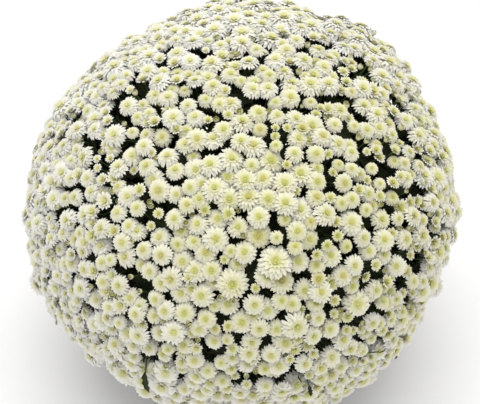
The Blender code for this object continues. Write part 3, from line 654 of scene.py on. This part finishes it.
def ringed_shape(points, rings, sides, tone):
    """The skin through rings of points, one after the other, open at both ends."""
    faces = []
    for a, b in ring_pairs(rings, sides):
        faces.append((a, b, a + sides))
        faces.append((b, b + sides, a + sides))
    total = rings * sides
    return Shape(
        points, np.array(faces), np.full(total, tone),
        np.repeat(np.linspace(0.0, 1.0, rings), sides), np.zeros(total),
        np.ones(len(faces), int),
    )


def calyx_template():
    """The green cup under a bloom, of reach 1: its scales as one six-sided cup."""
    points = []
    for radius, height in CALYX_PROFILE:
        points += ring_points(radius, height, CALYX_SIDES)
    points = np.array(points)
    points[1 - CALYX_SIDES::2, 2] += CALYX_NOTCH
    return ringed_shape(points, len(CALYX_PROFILE), CALYX_SIDES, CALYX_TONE)


def stalk_shape(start, start_way, end, end_way, form):
    """A round stalk that leaves one point and arrives at another the given ways. Its open ends
    both sit in something."""
    (first_radius, last_radius), steps, sides, tone = form
    share = np.linspace(0.0, 1.0, steps)[:, None]
    reach = np.linalg.norm(end - start) * BEND_REACH
    first, second = start + start_way * reach, end - end_way * reach
    path = (
        start * (1 - share) ** 3 + 3 * first * share * (1 - share) ** 2
        + 3 * second * share ** 2 * (1 - share) + end * share ** 3
    )
    ways = np.gradient(path, axis=0)
    ways /= np.linalg.norm(ways, axis=1)[:, None]
    side = np.cross(ways, TUBE_ASKEW)
    side /= np.linalg.norm(side, axis=1)[:, None]
    other = np.cross(ways, side)
    widths = np.linspace(first_radius, last_radius, steps)
    turns = math.tau * np.arange(sides) / sides
    rings = (
        path[:, None, :]
        + widths[:, None, None] * np.cos(turns)[None, :, None] * side[:, None, :]
        + widths[:, None, None] * np.sin(turns)[None, :, None] * other[:, None, :]
    )
    return ringed_shape(rings.reshape(-1, 3), steps, sides, tone)


def wave_height(direction):
    """The bush's low swells, one to a spray or so."""
    x, y, z = direction
    return SURFACE_WAVE * sum(math.sin(a * x + b * y + c * z + start) for a, b, c, start in SWELLS) / 2.0


def bush_place(direction, depth):
    """The point of the bush in a direction from its centre, that deep under its surface."""
    along = 1.0 / np.linalg.norm(direction / BUSH_RADII)
    seen = np.array([direction @ axis for axis in (RIGHT, UPWARD, FORWARD)])
    for middle, height, width in BULGES:
        along += height * math.exp((seen @ np.array(middle) - 1.0) / width)
    top = np.clip((seen[1] - TOP_SHIFT_FROM) / (1.0 - TOP_SHIFT_FROM), 0.0, 1.0)
    shift = np.array((TOP_SHIFT * top, 0.0, 0.0))
    return BUSH_CENTRE + direction * (along + wave_height(direction) - depth) + shift


def bush_normal(direction):
    return unit(direction / BUSH_RADII ** 2)


def random_direction(lowest):
    """Anywhere on the ball down to an angle from straight up, evenly spread."""
    height = draw.uniform(math.cos(lowest), 1.0)
    turn = draw.uniform(0.0, math.tau)
    across = math.sqrt(1.0 - height * height)
    return np.array((across * math.cos(turn), across * math.sin(turn), height))


def pixel_ray(pixel_x, pixel_y):
    """The way from the camera through a pixel of the photograph."""
    aside, below = pixel_x - PHOTO_SIZE[0] / 2.0, pixel_y - PHOTO_SIZE[1] / 2.0
    return unit(FORWARD * FOCAL_PIXELS + RIGHT * aside - UPWARD * below)


def seen_direction(pixel_x, pixel_y):
    """The direction from the bush's centre to what a pixel of the photograph shows of it."""
    start = (CAMERA_PLACE - BUSH_CENTRE) / BUSH_RADII
    way = pixel_ray(pixel_x, pixel_y) / BUSH_RADII
    a, b, c = way @ way, start @ way, start @ start - 1.0
    inside = b * b - a * c
    if inside <= 0.0:
        return None
    return unit((start + way * (-b - math.sqrt(inside)) / a) * BUSH_RADII)


def shown_pixel(place):
    """Where a point falls in the photograph."""
    away = place - CAMERA_PLACE
    scale = FOCAL_PIXELS / (away @ FORWARD)
    return PHOTO_SIZE[0] / 2.0 + scale * (away @ RIGHT), PHOTO_SIZE[1] / 2.0 - scale * (away @ UPWARD)


def seen_place(pixel_x, pixel_y):
    """The bush's skin behind a pixel or, past its outline, the ray's point nearest to its middle."""
    aim_x, aim_y = pixel_x, pixel_y
    for _ in range(AIM_ROUNDS):
        direction = seen_direction(aim_x, aim_y)
        if direction is None:
            break
        place = bush_place(direction, 0.0)
        shown_x, shown_y = shown_pixel(place)
        if math.hypot(pixel_x - shown_x, pixel_y - shown_y) < AIM_CLOSE:
            return place
        aim_x += pixel_x - shown_x
        aim_y += pixel_y - shown_y
    ray = pixel_ray(pixel_x, pixel_y)
    return CAMERA_PLACE + ray * ((BUSH_CENTRE - CAMERA_PLACE) @ ray)


def find_gaps():
    """Middles and radii of the gaps: those seen in the photograph, and like ones round the back."""
    middles, radii = [], []
    for x0, y0, x1, y1, width in SEEN_GAPS:
        steps = max(1, round(math.hypot(x1 - x0, y1 - y0) / STROKE_STEP))
        for step in range(steps + 1):
            share = step / steps
            middles.append(seen_place(x0 + (x1 - x0) * share, y0 + (y1 - y0) * share))
            radii.append(0.5 * width * A_PIXEL)
    for _ in range(OTHER_GAPS):
        direction = random_direction(SKIRT_ANGLE)
        share = draw.uniform() ** 2
        if direction @ FORWARD < TURNED_AWAY:
            continue
        middles.append(bush_place(direction, 0.0))
        radii.append(between(OTHER_GAP_RADII, share))
    return np.array(middles), np.array(radii)


def clearance(offsets, radii):
    """How far the nearest ball's skin is, from the offsets of the balls' middles."""
    return (np.sqrt(np.einsum("ij,ij->i", offsets, offsets)) - radii).min()


def new_spot(form, place, reach):
    """A spot that faces out of the bush, a little to the light and a little astray."""
    direction = unit(place - BUSH_CENTRE)
    lean = LEAN + LOW_LEAN * max(0.0, -direction[2])
    facing = bush_normal(direction) + LIGHT_WAY * lean + draw.normal(0.0, FACING_JITTER, 3)
    return Spot(form, place, unit(facing), reach)


def seen_spots(gaps):
    """Spots of the blooms that the photograph shows, made a little smaller where they lap a gap."""
    gap_places, gap_radii = gaps
    placed = []
    for x, y, width in SEEN_BLOOMS:
        form = "full" if width > FULL_FROM else "bud" if width < BUD_UNDER else "half"
        reach = 0.5 * SEEN_SPREAD * width * A_PIXEL
        place = seen_place(x, y)
        room = clearance(gap_places - place, gap_radii) / SEEN_CLEARANCE
        placed.append(new_spot(form, place, np.clip(room, LEAST_SEEN * reach, reach)))
    return placed


def throw_spots(form, tries, reaches, spacing, gaps, placed):
    """Spots at random places, each kept where it clears the gaps and the spots before it."""
    gap_places, gap_radii = gaps
    places = np.zeros((MOST_SPOTS, 3))
    taken = np.zeros(MOST_SPOTS)
    for number, spot in enumerate(placed):
        places[number] = spot.place
        taken[number] = spot.reach
    for _ in range(tries):
        direction = random_direction(SKIRT_ANGLE)
        reach = between(reaches, draw.uniform())
        surface = bush_place(direction, 0.0)
        count = len(placed)
        apart = spacing + LOW_SPACING * max(0.0, -direction[2])
        if clearance(gap_places - surface, gap_radii) < GAP_CLEARANCE * reach:
            continue
        if count and clearance(places[:count] - surface, apart * taken[:count]) < apart * reach:
            continue
        places[count] = surface
        taken[count] = reach
        placed.append(new_spot(form, surface, reach))


def choose_levels(placed):
    """How deep each bloom sits, so that one lies over the next instead of through it."""
    places = np.array([spot.place for spot in placed])
    reaches = np.array([spot.reach for spot in placed])
    chosen = np.full(len(placed), -1)
    for number, spot in enumerate(placed):
        away = np.linalg.norm(places - spot.place, axis=1)
        overlap = np.clip(reaches + spot.reach - away, 0.0, None) * (chosen >= 0)
        load = [overlap[chosen == level].sum() for level in range(len(LEVELS))]
        chosen[number] = int(np.argmin(load))
    return np.array(LEVELS)[chosen]


def lay_out_spots():
    """All the blooms' spots: first those that are seen, then those that the rule throws."""
    gaps = find_gaps()
    placed = seen_spots(gaps)
    for thrown in THROWN:
        throw_spots(*thrown, gaps, placed)
    for spot, level in zip(placed, choose_levels(placed)):
        inward = unit(spot.place - BUSH_CENTRE)
        depth = SPOT_DEPTHS[spot.form] + level + draw.normal(0.0, DEPTH_JITTER)
        spot.place = spot.place - inward * depth
    return placed


def seen_leaves():
    """Spots of the leaves that hang out: each faces along its leaf, whose length is its reach."""
    hanging = []
    for x0, y0, x1, y1 in SEEN_LEAVES:
        length = (RIGHT * (x1 - x0) - UPWARD * (y1 - y0)) * A_PIXEL
        hanging.append(Spot("leaf", seen_place(x0, y0), unit(length), np.linalg.norm(length)))
    return hanging


def node_names(start):
    return sorted(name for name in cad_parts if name.startswith(start))


def mesh_points(mesh):
    points = np.empty(3 * len(mesh.vertices), np.float32)
    mesh.vertices.foreach_get("co", points)
    return points.reshape(-1, 3)


def node_points(name):
    return mesh_points(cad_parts[name].data).astype(float)


def point_tree(names):
    """A tree of the nodes' points, whose indices give the node's number."""
    clouds = [node_points(name) for name in names]
    tree = KDTree(sum(len(cloud) for cloud in clouds))
    for number, cloud in enumerate(clouds):
        for point in cloud:
            tree.insert(Vector(point), number)
    tree.balance()
    return tree


def grouped(places, size):
    """The number of the group that each place falls in, and the middles of the groups."""
    count = max(1, round(len(places) / size))
    chosen = [0]
    away = np.linalg.norm(places - places[0], axis=1)
    while len(chosen) < count:
        chosen.append(int(np.argmax(away)))
        away = np.minimum(away, np.linalg.norm(places - places[chosen[-1]], axis=1))
    middles = places[chosen]
    for _ in range(GROUPING_ROUNDS):
        groups = np.argmin(np.linalg.norm(places[:, None] - middles[None], axis=2), axis=1)
        middles = np.array([places[groups == number].mean(axis=0) for number in range(count)])
    return groups, middles


def leaf_on(start, end, leaf):
    """A copy of a leaf that grows from somewhere between a stalk's ends."""
    root = start + (end - start) * draw.uniform(*LEAF_ROOTS)
    outward = unit(root - BUSH_CENTRE)
    aside = frame_of(outward, draw.uniform(0.0, math.tau))[:, 0]
    lean = math.radians(draw.uniform(*LEAF_LEANS))
    way = outward * math.cos(lean) + aside * math.sin(lean)
    face = outward - way * (outward @ way)
    face = unit(face + draw.normal(0.0, LEAF_TILT, 3))
    length = between(LEAF_LENGTHS, draw.uniform())
    across = unit(np.cross(face, way))
    matrix = np.column_stack([way, across, np.cross(way, across)]) * length
    return moved(leaf, matrix, root, 1.0, draw.uniform(*LEAF_TONE_SHIFTS))


def hanging_leaf(spot, leaf):
    """A copy of a leaf that lies along its spot's facing."""
    across = unit(np.cross(unit(spot.place - BUSH_CENTRE), spot.facing))
    sizes = np.array((1.0, HANGING_WIDTH, 1.0)) * spot.reach
    matrix = np.column_stack([spot.facing, across, np.cross(spot.facing, across)])
    return moved(leaf, matrix * sizes, spot.place)


def stem_foot(name):
    """The middle of a stem's lowest ring of points, in the soil."""
    points = node_points(name)
    lowest = points[:, 2].min()
    return points[points[:, 2] < lowest + FOOT_SLICE].mean(axis=0)


def foliage_shape(spots, name, calyx, leaves):
    """A stem with its twigs, stalks, leaves and the green cups of its blooms."""
    places = np.array([spot.place for spot in spots])
    direction = unit(places.mean(axis=0) - BUSH_CENTRE)
    hub = bush_place(direction, HUB_DEPTH)
    soil_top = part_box("soil")[1].z
    over_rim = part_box("pot")[1].z + HUB_OVER_RIM
    if hub[2] < over_rim:
        hub = hub + UP * (over_rim - hub[2])
    shapes = [stalk_shape(stem_foot(name), UP, hub, direction, STEM)]
    groups, middles = grouped(places, SPOTS_A_TWIG)
    for number, middle in enumerate(middles):
        outward = unit(middle - BUSH_CENTRE)
        twig_end = bush_place(outward, TWIG_DEPTH)
        if twig_end[2] < soil_top:
            twig_end = twig_end + UP * 0.5 * (soil_top - twig_end[2])
        shapes.append(stalk_shape(hub, direction, twig_end, outward, TWIG))
        for spot in [spots[index] for index in np.flatnonzero(groups == number)]:
            hangs = spot.form == "leaf"
            end = spot.place if hangs else spot.place - spot.facing * CALYX_FOOT * spot.reach
            shapes.append(stalk_shape(twig_end, outward, end, spot.facing, STALK))
            if hangs:
                shapes.append(hanging_leaf(spot, leaves[0]))
                continue
            matrix = frame_of(spot.facing, draw.uniform(0.0, math.tau)) * spot.reach
            shapes.append(moved(calyx, matrix, spot.place))
            for _ in range(int(LEAVES_A_STALK + draw.uniform())):
                shapes.append(leaf_on(twig_end, end, leaves[draw.integers(len(leaves))]))
    return joined(shapes)


def blooms_shape(spots, templates):
    """The blooms of a spray, and for each point the way out of its bloom's dome."""
    shapes, outward = [], []
    for spot in spots:
        if spot.form == "leaf":
            continue
        choices = templates[spot.form]
        template = choices[draw.integers(len(choices))]
        matrix = frame_of(spot.facing, draw.uniform(0.0, math.tau)) * spot.reach
        ripe = np.clip((spot.reach - RIPENING[0]) / (RIPENING[1] - RIPENING[0]), 0.0, 1.0)
        ripe = ripe if spot.form == "full" else 1.0
        scale = draw.uniform(*TONE_SCALES) * between(RIPE_TONES, ripe)
        age = draw.uniform(*AGES) * (draw.uniform() < AGED_SHARE)
        way = unit(spot.place - BUSH_CENTRE)
        # Painted light: blooms paler toward the outline that the camera sees and at the left, half-open
        # ones the more so
        painted_light = between(PAINTED_RIM_LIGHT, 1.0 - max(0.0, -way @ FORWARD) ** 2) - PAINTED_LEFT_LIGHT * (way @ RIGHT)
        if spot.form == "half":
            painted_light *= HALF_PAINTED_LIGHT
        shapes.append(moved(template, matrix, spot.place, scale, draw.normal(painted_light, TONE_JITTER), age))
        away = shapes[-1].points - (spot.place - spot.facing * DOME_DEPTH * spot.reach)
        outward.append(away / np.linalg.norm(away, axis=1)[:, None])
    return joined(shapes), np.concatenate(outward)


def soften(mesh, outward):
    """Turns a bloom's normals some of the way out of its dome, as its soft petals scatter light."""
    normals = np.empty(3 * len(mesh.vertices), np.float32)
    mesh.vertex_normals.foreach_get("vector", normals)
    normals = normals.reshape(-1, 3)
    agreeing = np.clip(np.einsum("ij,ij->i", normals, outward), 0.0, 1.0)
    turned = normals + outward * (SOFTNESS * agreeing)[:, None]
    turned /= np.linalg.norm(turned, axis=1)[:, None]
    mesh.normals_split_custom_set_from_vertices(turned.tolist())


def new_object(name, data):
    thing = bpy.data.objects.new(name, data)
    bpy.context.scene.collection.objects.link(thing)
    return thing


def mesh_piece(name, shape, materials, outward=None):
    mesh = bpy.data.meshes.new(name)
    mesh.vertices.add(len(shape.points))
    mesh.vertices.foreach_set("co", shape.points.astype(np.float32).ravel())
    mesh.loops.add(3 * len(shape.faces))
    mesh.loops.foreach_set("vertex_index", shape.faces.astype(np.int32).ravel())
    mesh.polygons.add(len(shape.faces))
    mesh.polygons.foreach_set("loop_start", np.arange(0, 3 * len(shape.faces), 3, dtype=np.int32))
    mesh.polygons.foreach_set("material_index", shape.kind.astype(np.int32))
    for label in ("tone", "along", "across", "age"):
        values = mesh.attributes.new(label, "FLOAT", "POINT")
        values.data.foreach_set("value", getattr(shape, label).astype(np.float32))
    for material in materials:
        mesh.materials.append(material)
    mesh.update(calc_edges=True)
    mesh.shade_smooth()
    if outward is not None:
        soften(mesh, outward)
    return new_object(name, mesh)


# The colour sockets of a Mix node share their names with others, so these are their numbers
MIX_INPUTS = (0, 6, 7)
MIX_OUTPUT = 2


class Nodes:
    """A new material's nodes, with short ways to add and join them."""

    def __init__(self, name, roughness, specular=None):
        self.material = bpy.data.materials.new(name)
        self.material.use_nodes = True
        self.tree = self.material.node_tree
        self.shader = self.tree.nodes["Principled BSDF"]
        self.shader.inputs["Roughness"].default_value = roughness
        if specular is not None:
            self.shader.inputs["Specular IOR Level"].default_value = specular

    def add(self, kind, **settings):
        node = self.tree.nodes.new(kind)
        for label, value in settings.items():
            setattr(node, label, value)
        return node

    def link(self, output, socket):
        self.tree.links.new(output, socket)

    def attribute(self, label):
        return self.add("ShaderNodeAttribute", attribute_name=label).outputs["Fac"]

    def maths(self, operation, first, second=None):
        node = self.add("ShaderNodeMath", operation=operation)
        for socket, value in zip(node.inputs, (first, second)):
            if isinstance(value, (int, float)):
                socket.default_value = value
            elif value is not None:
                self.link(value, socket)
        return node.outputs["Value"]

    def noise(self, scale, detail=3.0):
        place = self.add("ShaderNodeTexCoord").outputs["Object"]
        node = self.add("ShaderNodeTexNoise")
        node.inputs["Scale"].default_value = scale
        node.inputs["Detail"].default_value = detail
        self.link(place, node.inputs["Vector"])
        return node.outputs["Fac"]

    def ramp(self, value, stops):
        node = self.add("ShaderNodeValToRGB")
        ramp = node.color_ramp
        while len(ramp.elements) < len(stops):
            ramp.elements.new(0.5)
        for element, (position, colour) in zip(ramp.elements, stops):
            element.position = position
            element.color = (*colour, 1.0)
        self.link(value, node.inputs["Fac"])
        return node.outputs["Color"]

    def mix(self, share, first, second):
        node = self.add("ShaderNodeMix", data_type="RGBA")
        for index, value in zip(MIX_INPUTS, (share, first, second)):
            socket = node.inputs[index]
            if isinstance(value, tuple):
                socket.default_value = (*value, 1.0)
            elif isinstance(value, float):
                socket.default_value = value
            else:
                self.link(value, socket)
        return node.outputs[MIX_OUTPUT]

    def bump(self, height, strength, distance):
        node = self.add("ShaderNodeBump")
        node.inputs["Strength"].default_value = strength
        node.inputs["Distance"].default_value = distance
        self.link(height, node.inputs["Height"])
        self.link(node.outputs["Normal"], self.shader.inputs["Normal"])

    def colour(self, output):
        self.link(output, self.shader.inputs["Base Color"])


def petal_material():
    """White at the tips, cream inwards and yellow green at the heart, with faint veins along."""
    nodes = Nodes("petal", roughness=0.55, specular=0.30)
    tone = nodes.attribute("tone")
    centred = nodes.maths("SUBTRACT", nodes.noise(scale=260.0), 0.5)
    patches = nodes.maths("MULTIPLY", centred, PETAL_PATCHINESS)
    fresh = nodes.ramp(nodes.maths("ADD", tone, patches), (
        (0.00, (0.30, 0.32, 0.040)),
        (0.14, (0.42, 0.43, 0.090)),
        (0.34, (0.57, 0.56, 0.19)),
        (0.56, (0.67, 0.655, 0.36)),
        (0.76, (0.735, 0.715, 0.53)),
        (0.92, (0.775, 0.76, 0.66)),
        (1.00, (0.795, 0.785, 0.73)),
    ))
    tipward = nodes.maths("MINIMUM", 1.0, nodes.maths("MULTIPLY", tone, BROWNING_EDGE))
    heartward = nodes.maths("SUBTRACT", 1.0, tipward)
    browning = nodes.maths("MULTIPLY", nodes.attribute("age"), heartward)
    nodes.colour(nodes.mix(browning, fresh, (0.50, 0.41, 0.14)))
    ridges = nodes.maths("SINE", nodes.maths("MULTIPLY", nodes.attribute("across"), PETAL_RIDGES))
    nodes.bump(ridges, strength=0.12, distance=0.0003)
    return nodes.material


def leaf_material():
    """Dark green with a paler midrib and side veins."""
    nodes = Nodes("leaf", roughness=0.62, specular=0.18)
    side = nodes.maths("ABSOLUTE", nodes.attribute("across"))
    midrib = nodes.maths("LESS_THAN", side, VEIN_WIDTH)
    slant = nodes.maths("SUBTRACT", nodes.maths("MULTIPLY", nodes.attribute("along"), SIDE_VEINS), side)
    vein = nodes.maths("LESS_THAN", nodes.maths("FRACT", slant), VEIN_WIDTH)
    veins = nodes.maths("MAXIMUM", midrib, vein)
    green = nodes.ramp(nodes.noise(scale=70.0), (
        (0.25, (0.010, 0.013, 0.004)),
        (0.55, (0.018, 0.024, 0.007)),
        (0.80, (0.032, 0.042, 0.011)),
    ))
    nodes.colour(nodes.mix(nodes.maths("MULTIPLY", veins, VEIN_SHARE), green, (0.060, 0.085, 0.030)))
    grain = nodes.maths("SUBTRACT", nodes.noise(scale=420.0), veins)
    nodes.bump(grain, strength=0.35, distance=0.0006)
    return nodes.material


def stalk_material():
    """Mid green, browner down the older wood."""
    nodes = Nodes("stalk", roughness=0.60)
    nodes.colour(nodes.ramp(nodes.attribute("tone"), (
        (0.20, (0.060, 0.045, 0.020)),
        (0.45, (0.050, 0.075, 0.018)),
        (0.75, (0.090, 0.140, 0.030)),
    )))
    nodes.bump(nodes.noise(scale=900.0), strength=0.20, distance=0.0004)
    return nodes.material


def pot_material():
    """Matt charcoal plastic, with a fine moulded grain and a little dust."""
    nodes = Nodes("pot_plastic", roughness=0.52)
    nodes.colour(nodes.ramp(nodes.noise(scale=24.0, detail=6.0), (
        (0.30, (0.042, 0.048, 0.052)),
        (0.60, (0.050, 0.057, 0.062)),
        (0.85, (0.085, 0.088, 0.088)),
    )))
    nodes.bump(nodes.noise(scale=1600.0, detail=2.0), strength=0.12, distance=0.0003)
    return nodes.material


def soil_material():
    """Dark brown peat with paler crumbs."""
    nodes = Nodes("peat", roughness=0.95)
    nodes.colour(nodes.ramp(nodes.noise(scale=380.0, detail=5.0), (
        (0.30, (0.012, 0.008, 0.005)),
        (0.55, (0.045, 0.028, 0.018)),
        (0.80, (0.110, 0.070, 0.042)),
    )))
    nodes.bump(nodes.noise(scale=700.0, detail=4.0), strength=0.60, distance=0.0015)
    return nodes.material


def arc(middle, radius, start, end, steps):
    """Points of a round stretch of a profile, its angles in degrees from outward, upward."""
    turns = np.radians(np.linspace(start, end, steps))
    return [(middle[0] + radius * math.cos(t), middle[1] + radius * math.sin(t)) for t in turns]


def turned_piece(name, profile, material):
    """A smooth piece turned from a profile of (radius, height) that starts and ends on the axis."""
    points = []
    for radius, height in profile:
        points += ring_points(radius, height, POT_TURNS)
    faces = [(a, b, b + POT_TURNS, a + POT_TURNS) for a, b in ring_pairs(len(profile), POT_TURNS)]
    mesh = bpy.data.meshes.new(name)
    mesh.from_pydata(points, [], faces)
    mesh.materials.append(material)
    piece = new_object(name, mesh)
    weld = piece.modifiers.new("weld", "WELD")
    weld.merge_threshold = WELD_REACH
    return piece


def apply_modifiers(piece):
    bpy.context.view_layer.update()
    graph = bpy.context.evaluated_depsgraph_get()
    done = bpy.data.meshes.new_from_object(piece.evaluated_get(graph))
    piece.modifiers.clear()
    piece.data = done
    done.shade_smooth()
    done.set_sharp_from_angle(angle=SHARP_ANGLE)


def make_pot():
    """The pot: its inside from the middle out, its rolled rim, its outside and its drains."""
    low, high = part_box("pot")
    top = high.z
    rim = (high.x - low.x) / 2.0
    inner_top = rim - RIM_PROUD - POT_WALL
    inner_foot = POT_BASE_RADIUS - POT_WALL
    slope = (rim - RIM_PROUD - POT_BASE_RADIUS) / top
    under = top - RIM_DEPTH
    wall_under = POT_BASE_RADIUS + slope * under
    soft = RIM_SOFTNESS
    profile = [(0.0, POT_FLOOR), (inner_foot - FLOOR_EDGE, POT_FLOOR)]
    profile += arc((inner_foot - FLOOR_CORNER, POT_FLOOR + FLOOR_CORNER), FLOOR_CORNER,
                   -90.0, -WALL_LEAN, CORNER_STEPS)
    profile += [(inner_top, top - soft)]
    profile += arc((inner_top + soft, top - soft), soft, 180.0, 90.0, RIM_STEPS)
    profile += arc((rim - soft, top - soft), soft, 90.0, 0.0, RIM_STEPS)
    profile += arc((rim - soft, under + soft), soft, 0.0, -90.0, RIM_STEPS)
    profile += [(wall_under + UNDER_RIM, under), (wall_under, under - UNDER_RIM)]
    profile += arc((POT_BASE_RADIUS - BASE_CORNER, BASE_CORNER), BASE_CORNER,
                   WALL_LEAN, -90.0, CORNER_STEPS)
    profile += [(0.0, 0.0)]
    pot = turned_piece("pot_shell", profile, pot_material())
    cutters = []
    for number in range(DRAINS):
        turn = math.tau * (number + 0.5) / DRAINS
        place = (DRAIN_RING * math.cos(turn), DRAIN_RING * math.sin(turn), 0.0)
        bpy.ops.mesh.primitive_cylinder_add(
            vertices=DRAIN_SIDES, radius=DRAIN_RADIUS, depth=DRAIN_CUT, location=place
        )
        cutters.append(bpy.context.object)
        cut = pot.modifiers.new("drain", "BOOLEAN")
        cut.operation = "DIFFERENCE"
        cut.object = cutters[-1]
        cut.solver = "EXACT"
    apply_modifiers(pot)
    for cutter in cutters:
        bpy.data.objects.remove(cutter)
    return pot


def make_soil():
    """The potting mix: a body that fills the pot, with a crumbly top."""
    low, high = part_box("soil")
    top, bottom = high.z, low.z
    radius = (high.x - low.x) / 2.0
    foot = POT_BASE_RADIUS - POT_WALL - SOIL_PLAY
    profile = [(0.0, bottom), (foot, bottom), (radius, top - SOIL_LIP)]
    profile += [(radius * ring / SOIL_RINGS, top) for ring in range(SOIL_RINGS, -1, -1)]
    soil = turned_piece("potting_mix", profile, soil_material())
    apply_modifiers(soil)
    points = mesh_points(soil.data)
    loose = points[:, 2] > top - SOIL_PLAY
    reach = np.hypot(points[:, 0], points[:, 1])
    crumbs = draw.uniform(*CRUMBS, len(points))
    points[loose, 2] += crumbs[loose] * (reach[loose] < radius - SOIL_PLAY)
    soil.data.vertices.foreach_set("co", points.ravel())
    soil.data.update()
    return soil


def make_floor():
    mesh = bpy.data.meshes.new("floor")
    corners = [(x * FLOOR_REACH, y * FLOOR_REACH, 0.0) for x, y in ((-1, -1), (1, -1), (1, 1), (-1, 1))]
    mesh.from_pydata(corners, [], [(0, 1, 2, 3)])
    nodes = Nodes("floor", roughness=0.9, specular=0.1)
    # Painted light: the floor glows a little, lifting and warming the bush's shadow on it
    nodes.shader.inputs["Emission Color"].default_value = FLOOR_GLOW
    nodes.shader.inputs["Emission Strength"].default_value = FLOOR_GLOW_STRENGTH
    nodes.colour(nodes.ramp(nodes.noise(FLOOR_PATCHES), FLOOR_TONES))
    mesh.materials.append(nodes.material)
    floor = new_object("floor", mesh)


def aim(thing, target):
    way = Vector(target) - thing.location
    thing.rotation_euler = way.to_track_quat("-Z", "Y").to_euler()


def add_lamp():
    light = bpy.data.lights.new("overhead", "AREA")
    light.shape = "DISK"
    light.size = LAMP_SIZE
    light.energy = LAMP_POWER
    lamp = new_object("overhead", light)
    lamp.location = LAMP_PLACE
    aim(lamp, BUSH_CENTRE)


def make_stage():
    make_floor()
    scene = bpy.context.scene
    scene.view_settings.view_transform = "Standard"
    world = bpy.data.worlds.new("studio")
    scene.world = world
    world.use_nodes = True
    background = world.node_tree.nodes["Background"]
    background.inputs["Color"].default_value = WHITE
    background.inputs["Strength"].default_value = WORLD_STRENGTH
    add_lamp()
    data = bpy.data.cameras.new("camera")
    data.sensor_width = SENSOR_WIDTH
    data.lens = FOCAL_PIXELS * SENSOR_WIDTH / PHOTO_SIZE[0]
    camera = new_object("camera", data)
    camera.location = CAMERA_PLACE
    aim(camera, CAMERA_PLACE + FORWARD)
    scene.camera = camera


def make_plant():
    sprays = node_names("bloom_spray_")
    stems = node_names("leafy_stem_")
    spots = lay_out_spots() + seen_leaves()
    tree = point_tree(sprays)
    for spot in spots:
        spot.home = tree.find(Vector(spot.place))[1]
    templates = {
        form: [bloom_template(form) for _ in range(count)] for form, count in VARIANTS.items()
    }
    calyx = calyx_template()
    leaves = [leaf_template() for _ in range(LEAF_VARIANTS)]
    petal = petal_material()
    greens = [leaf_material(), stalk_material()]
    for number, (spray, stem) in enumerate(zip(sprays, stems)):
        own = [spot for spot in spots if spot.home == number]
        shape, outward = blooms_shape(own, templates)
        blooms = mesh_piece(f"blooms_{number + 1:02d}", shape, [petal], outward)
        shape = foliage_shape(own, stem, calyx, leaves)
        foliage = mesh_piece(f"foliage_{number + 1:02d}", shape, greens)
        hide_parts(spray)
        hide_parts(stem)
        for piece in (blooms, foliage):
            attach(piece, "root")


def make_holder():
    pot = make_pot()
    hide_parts("pot")
    soil = make_soil()
    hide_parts("soil")
    for piece in (pot, soil):
        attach(piece, "root")


make_plant()
make_holder()
make_stage()
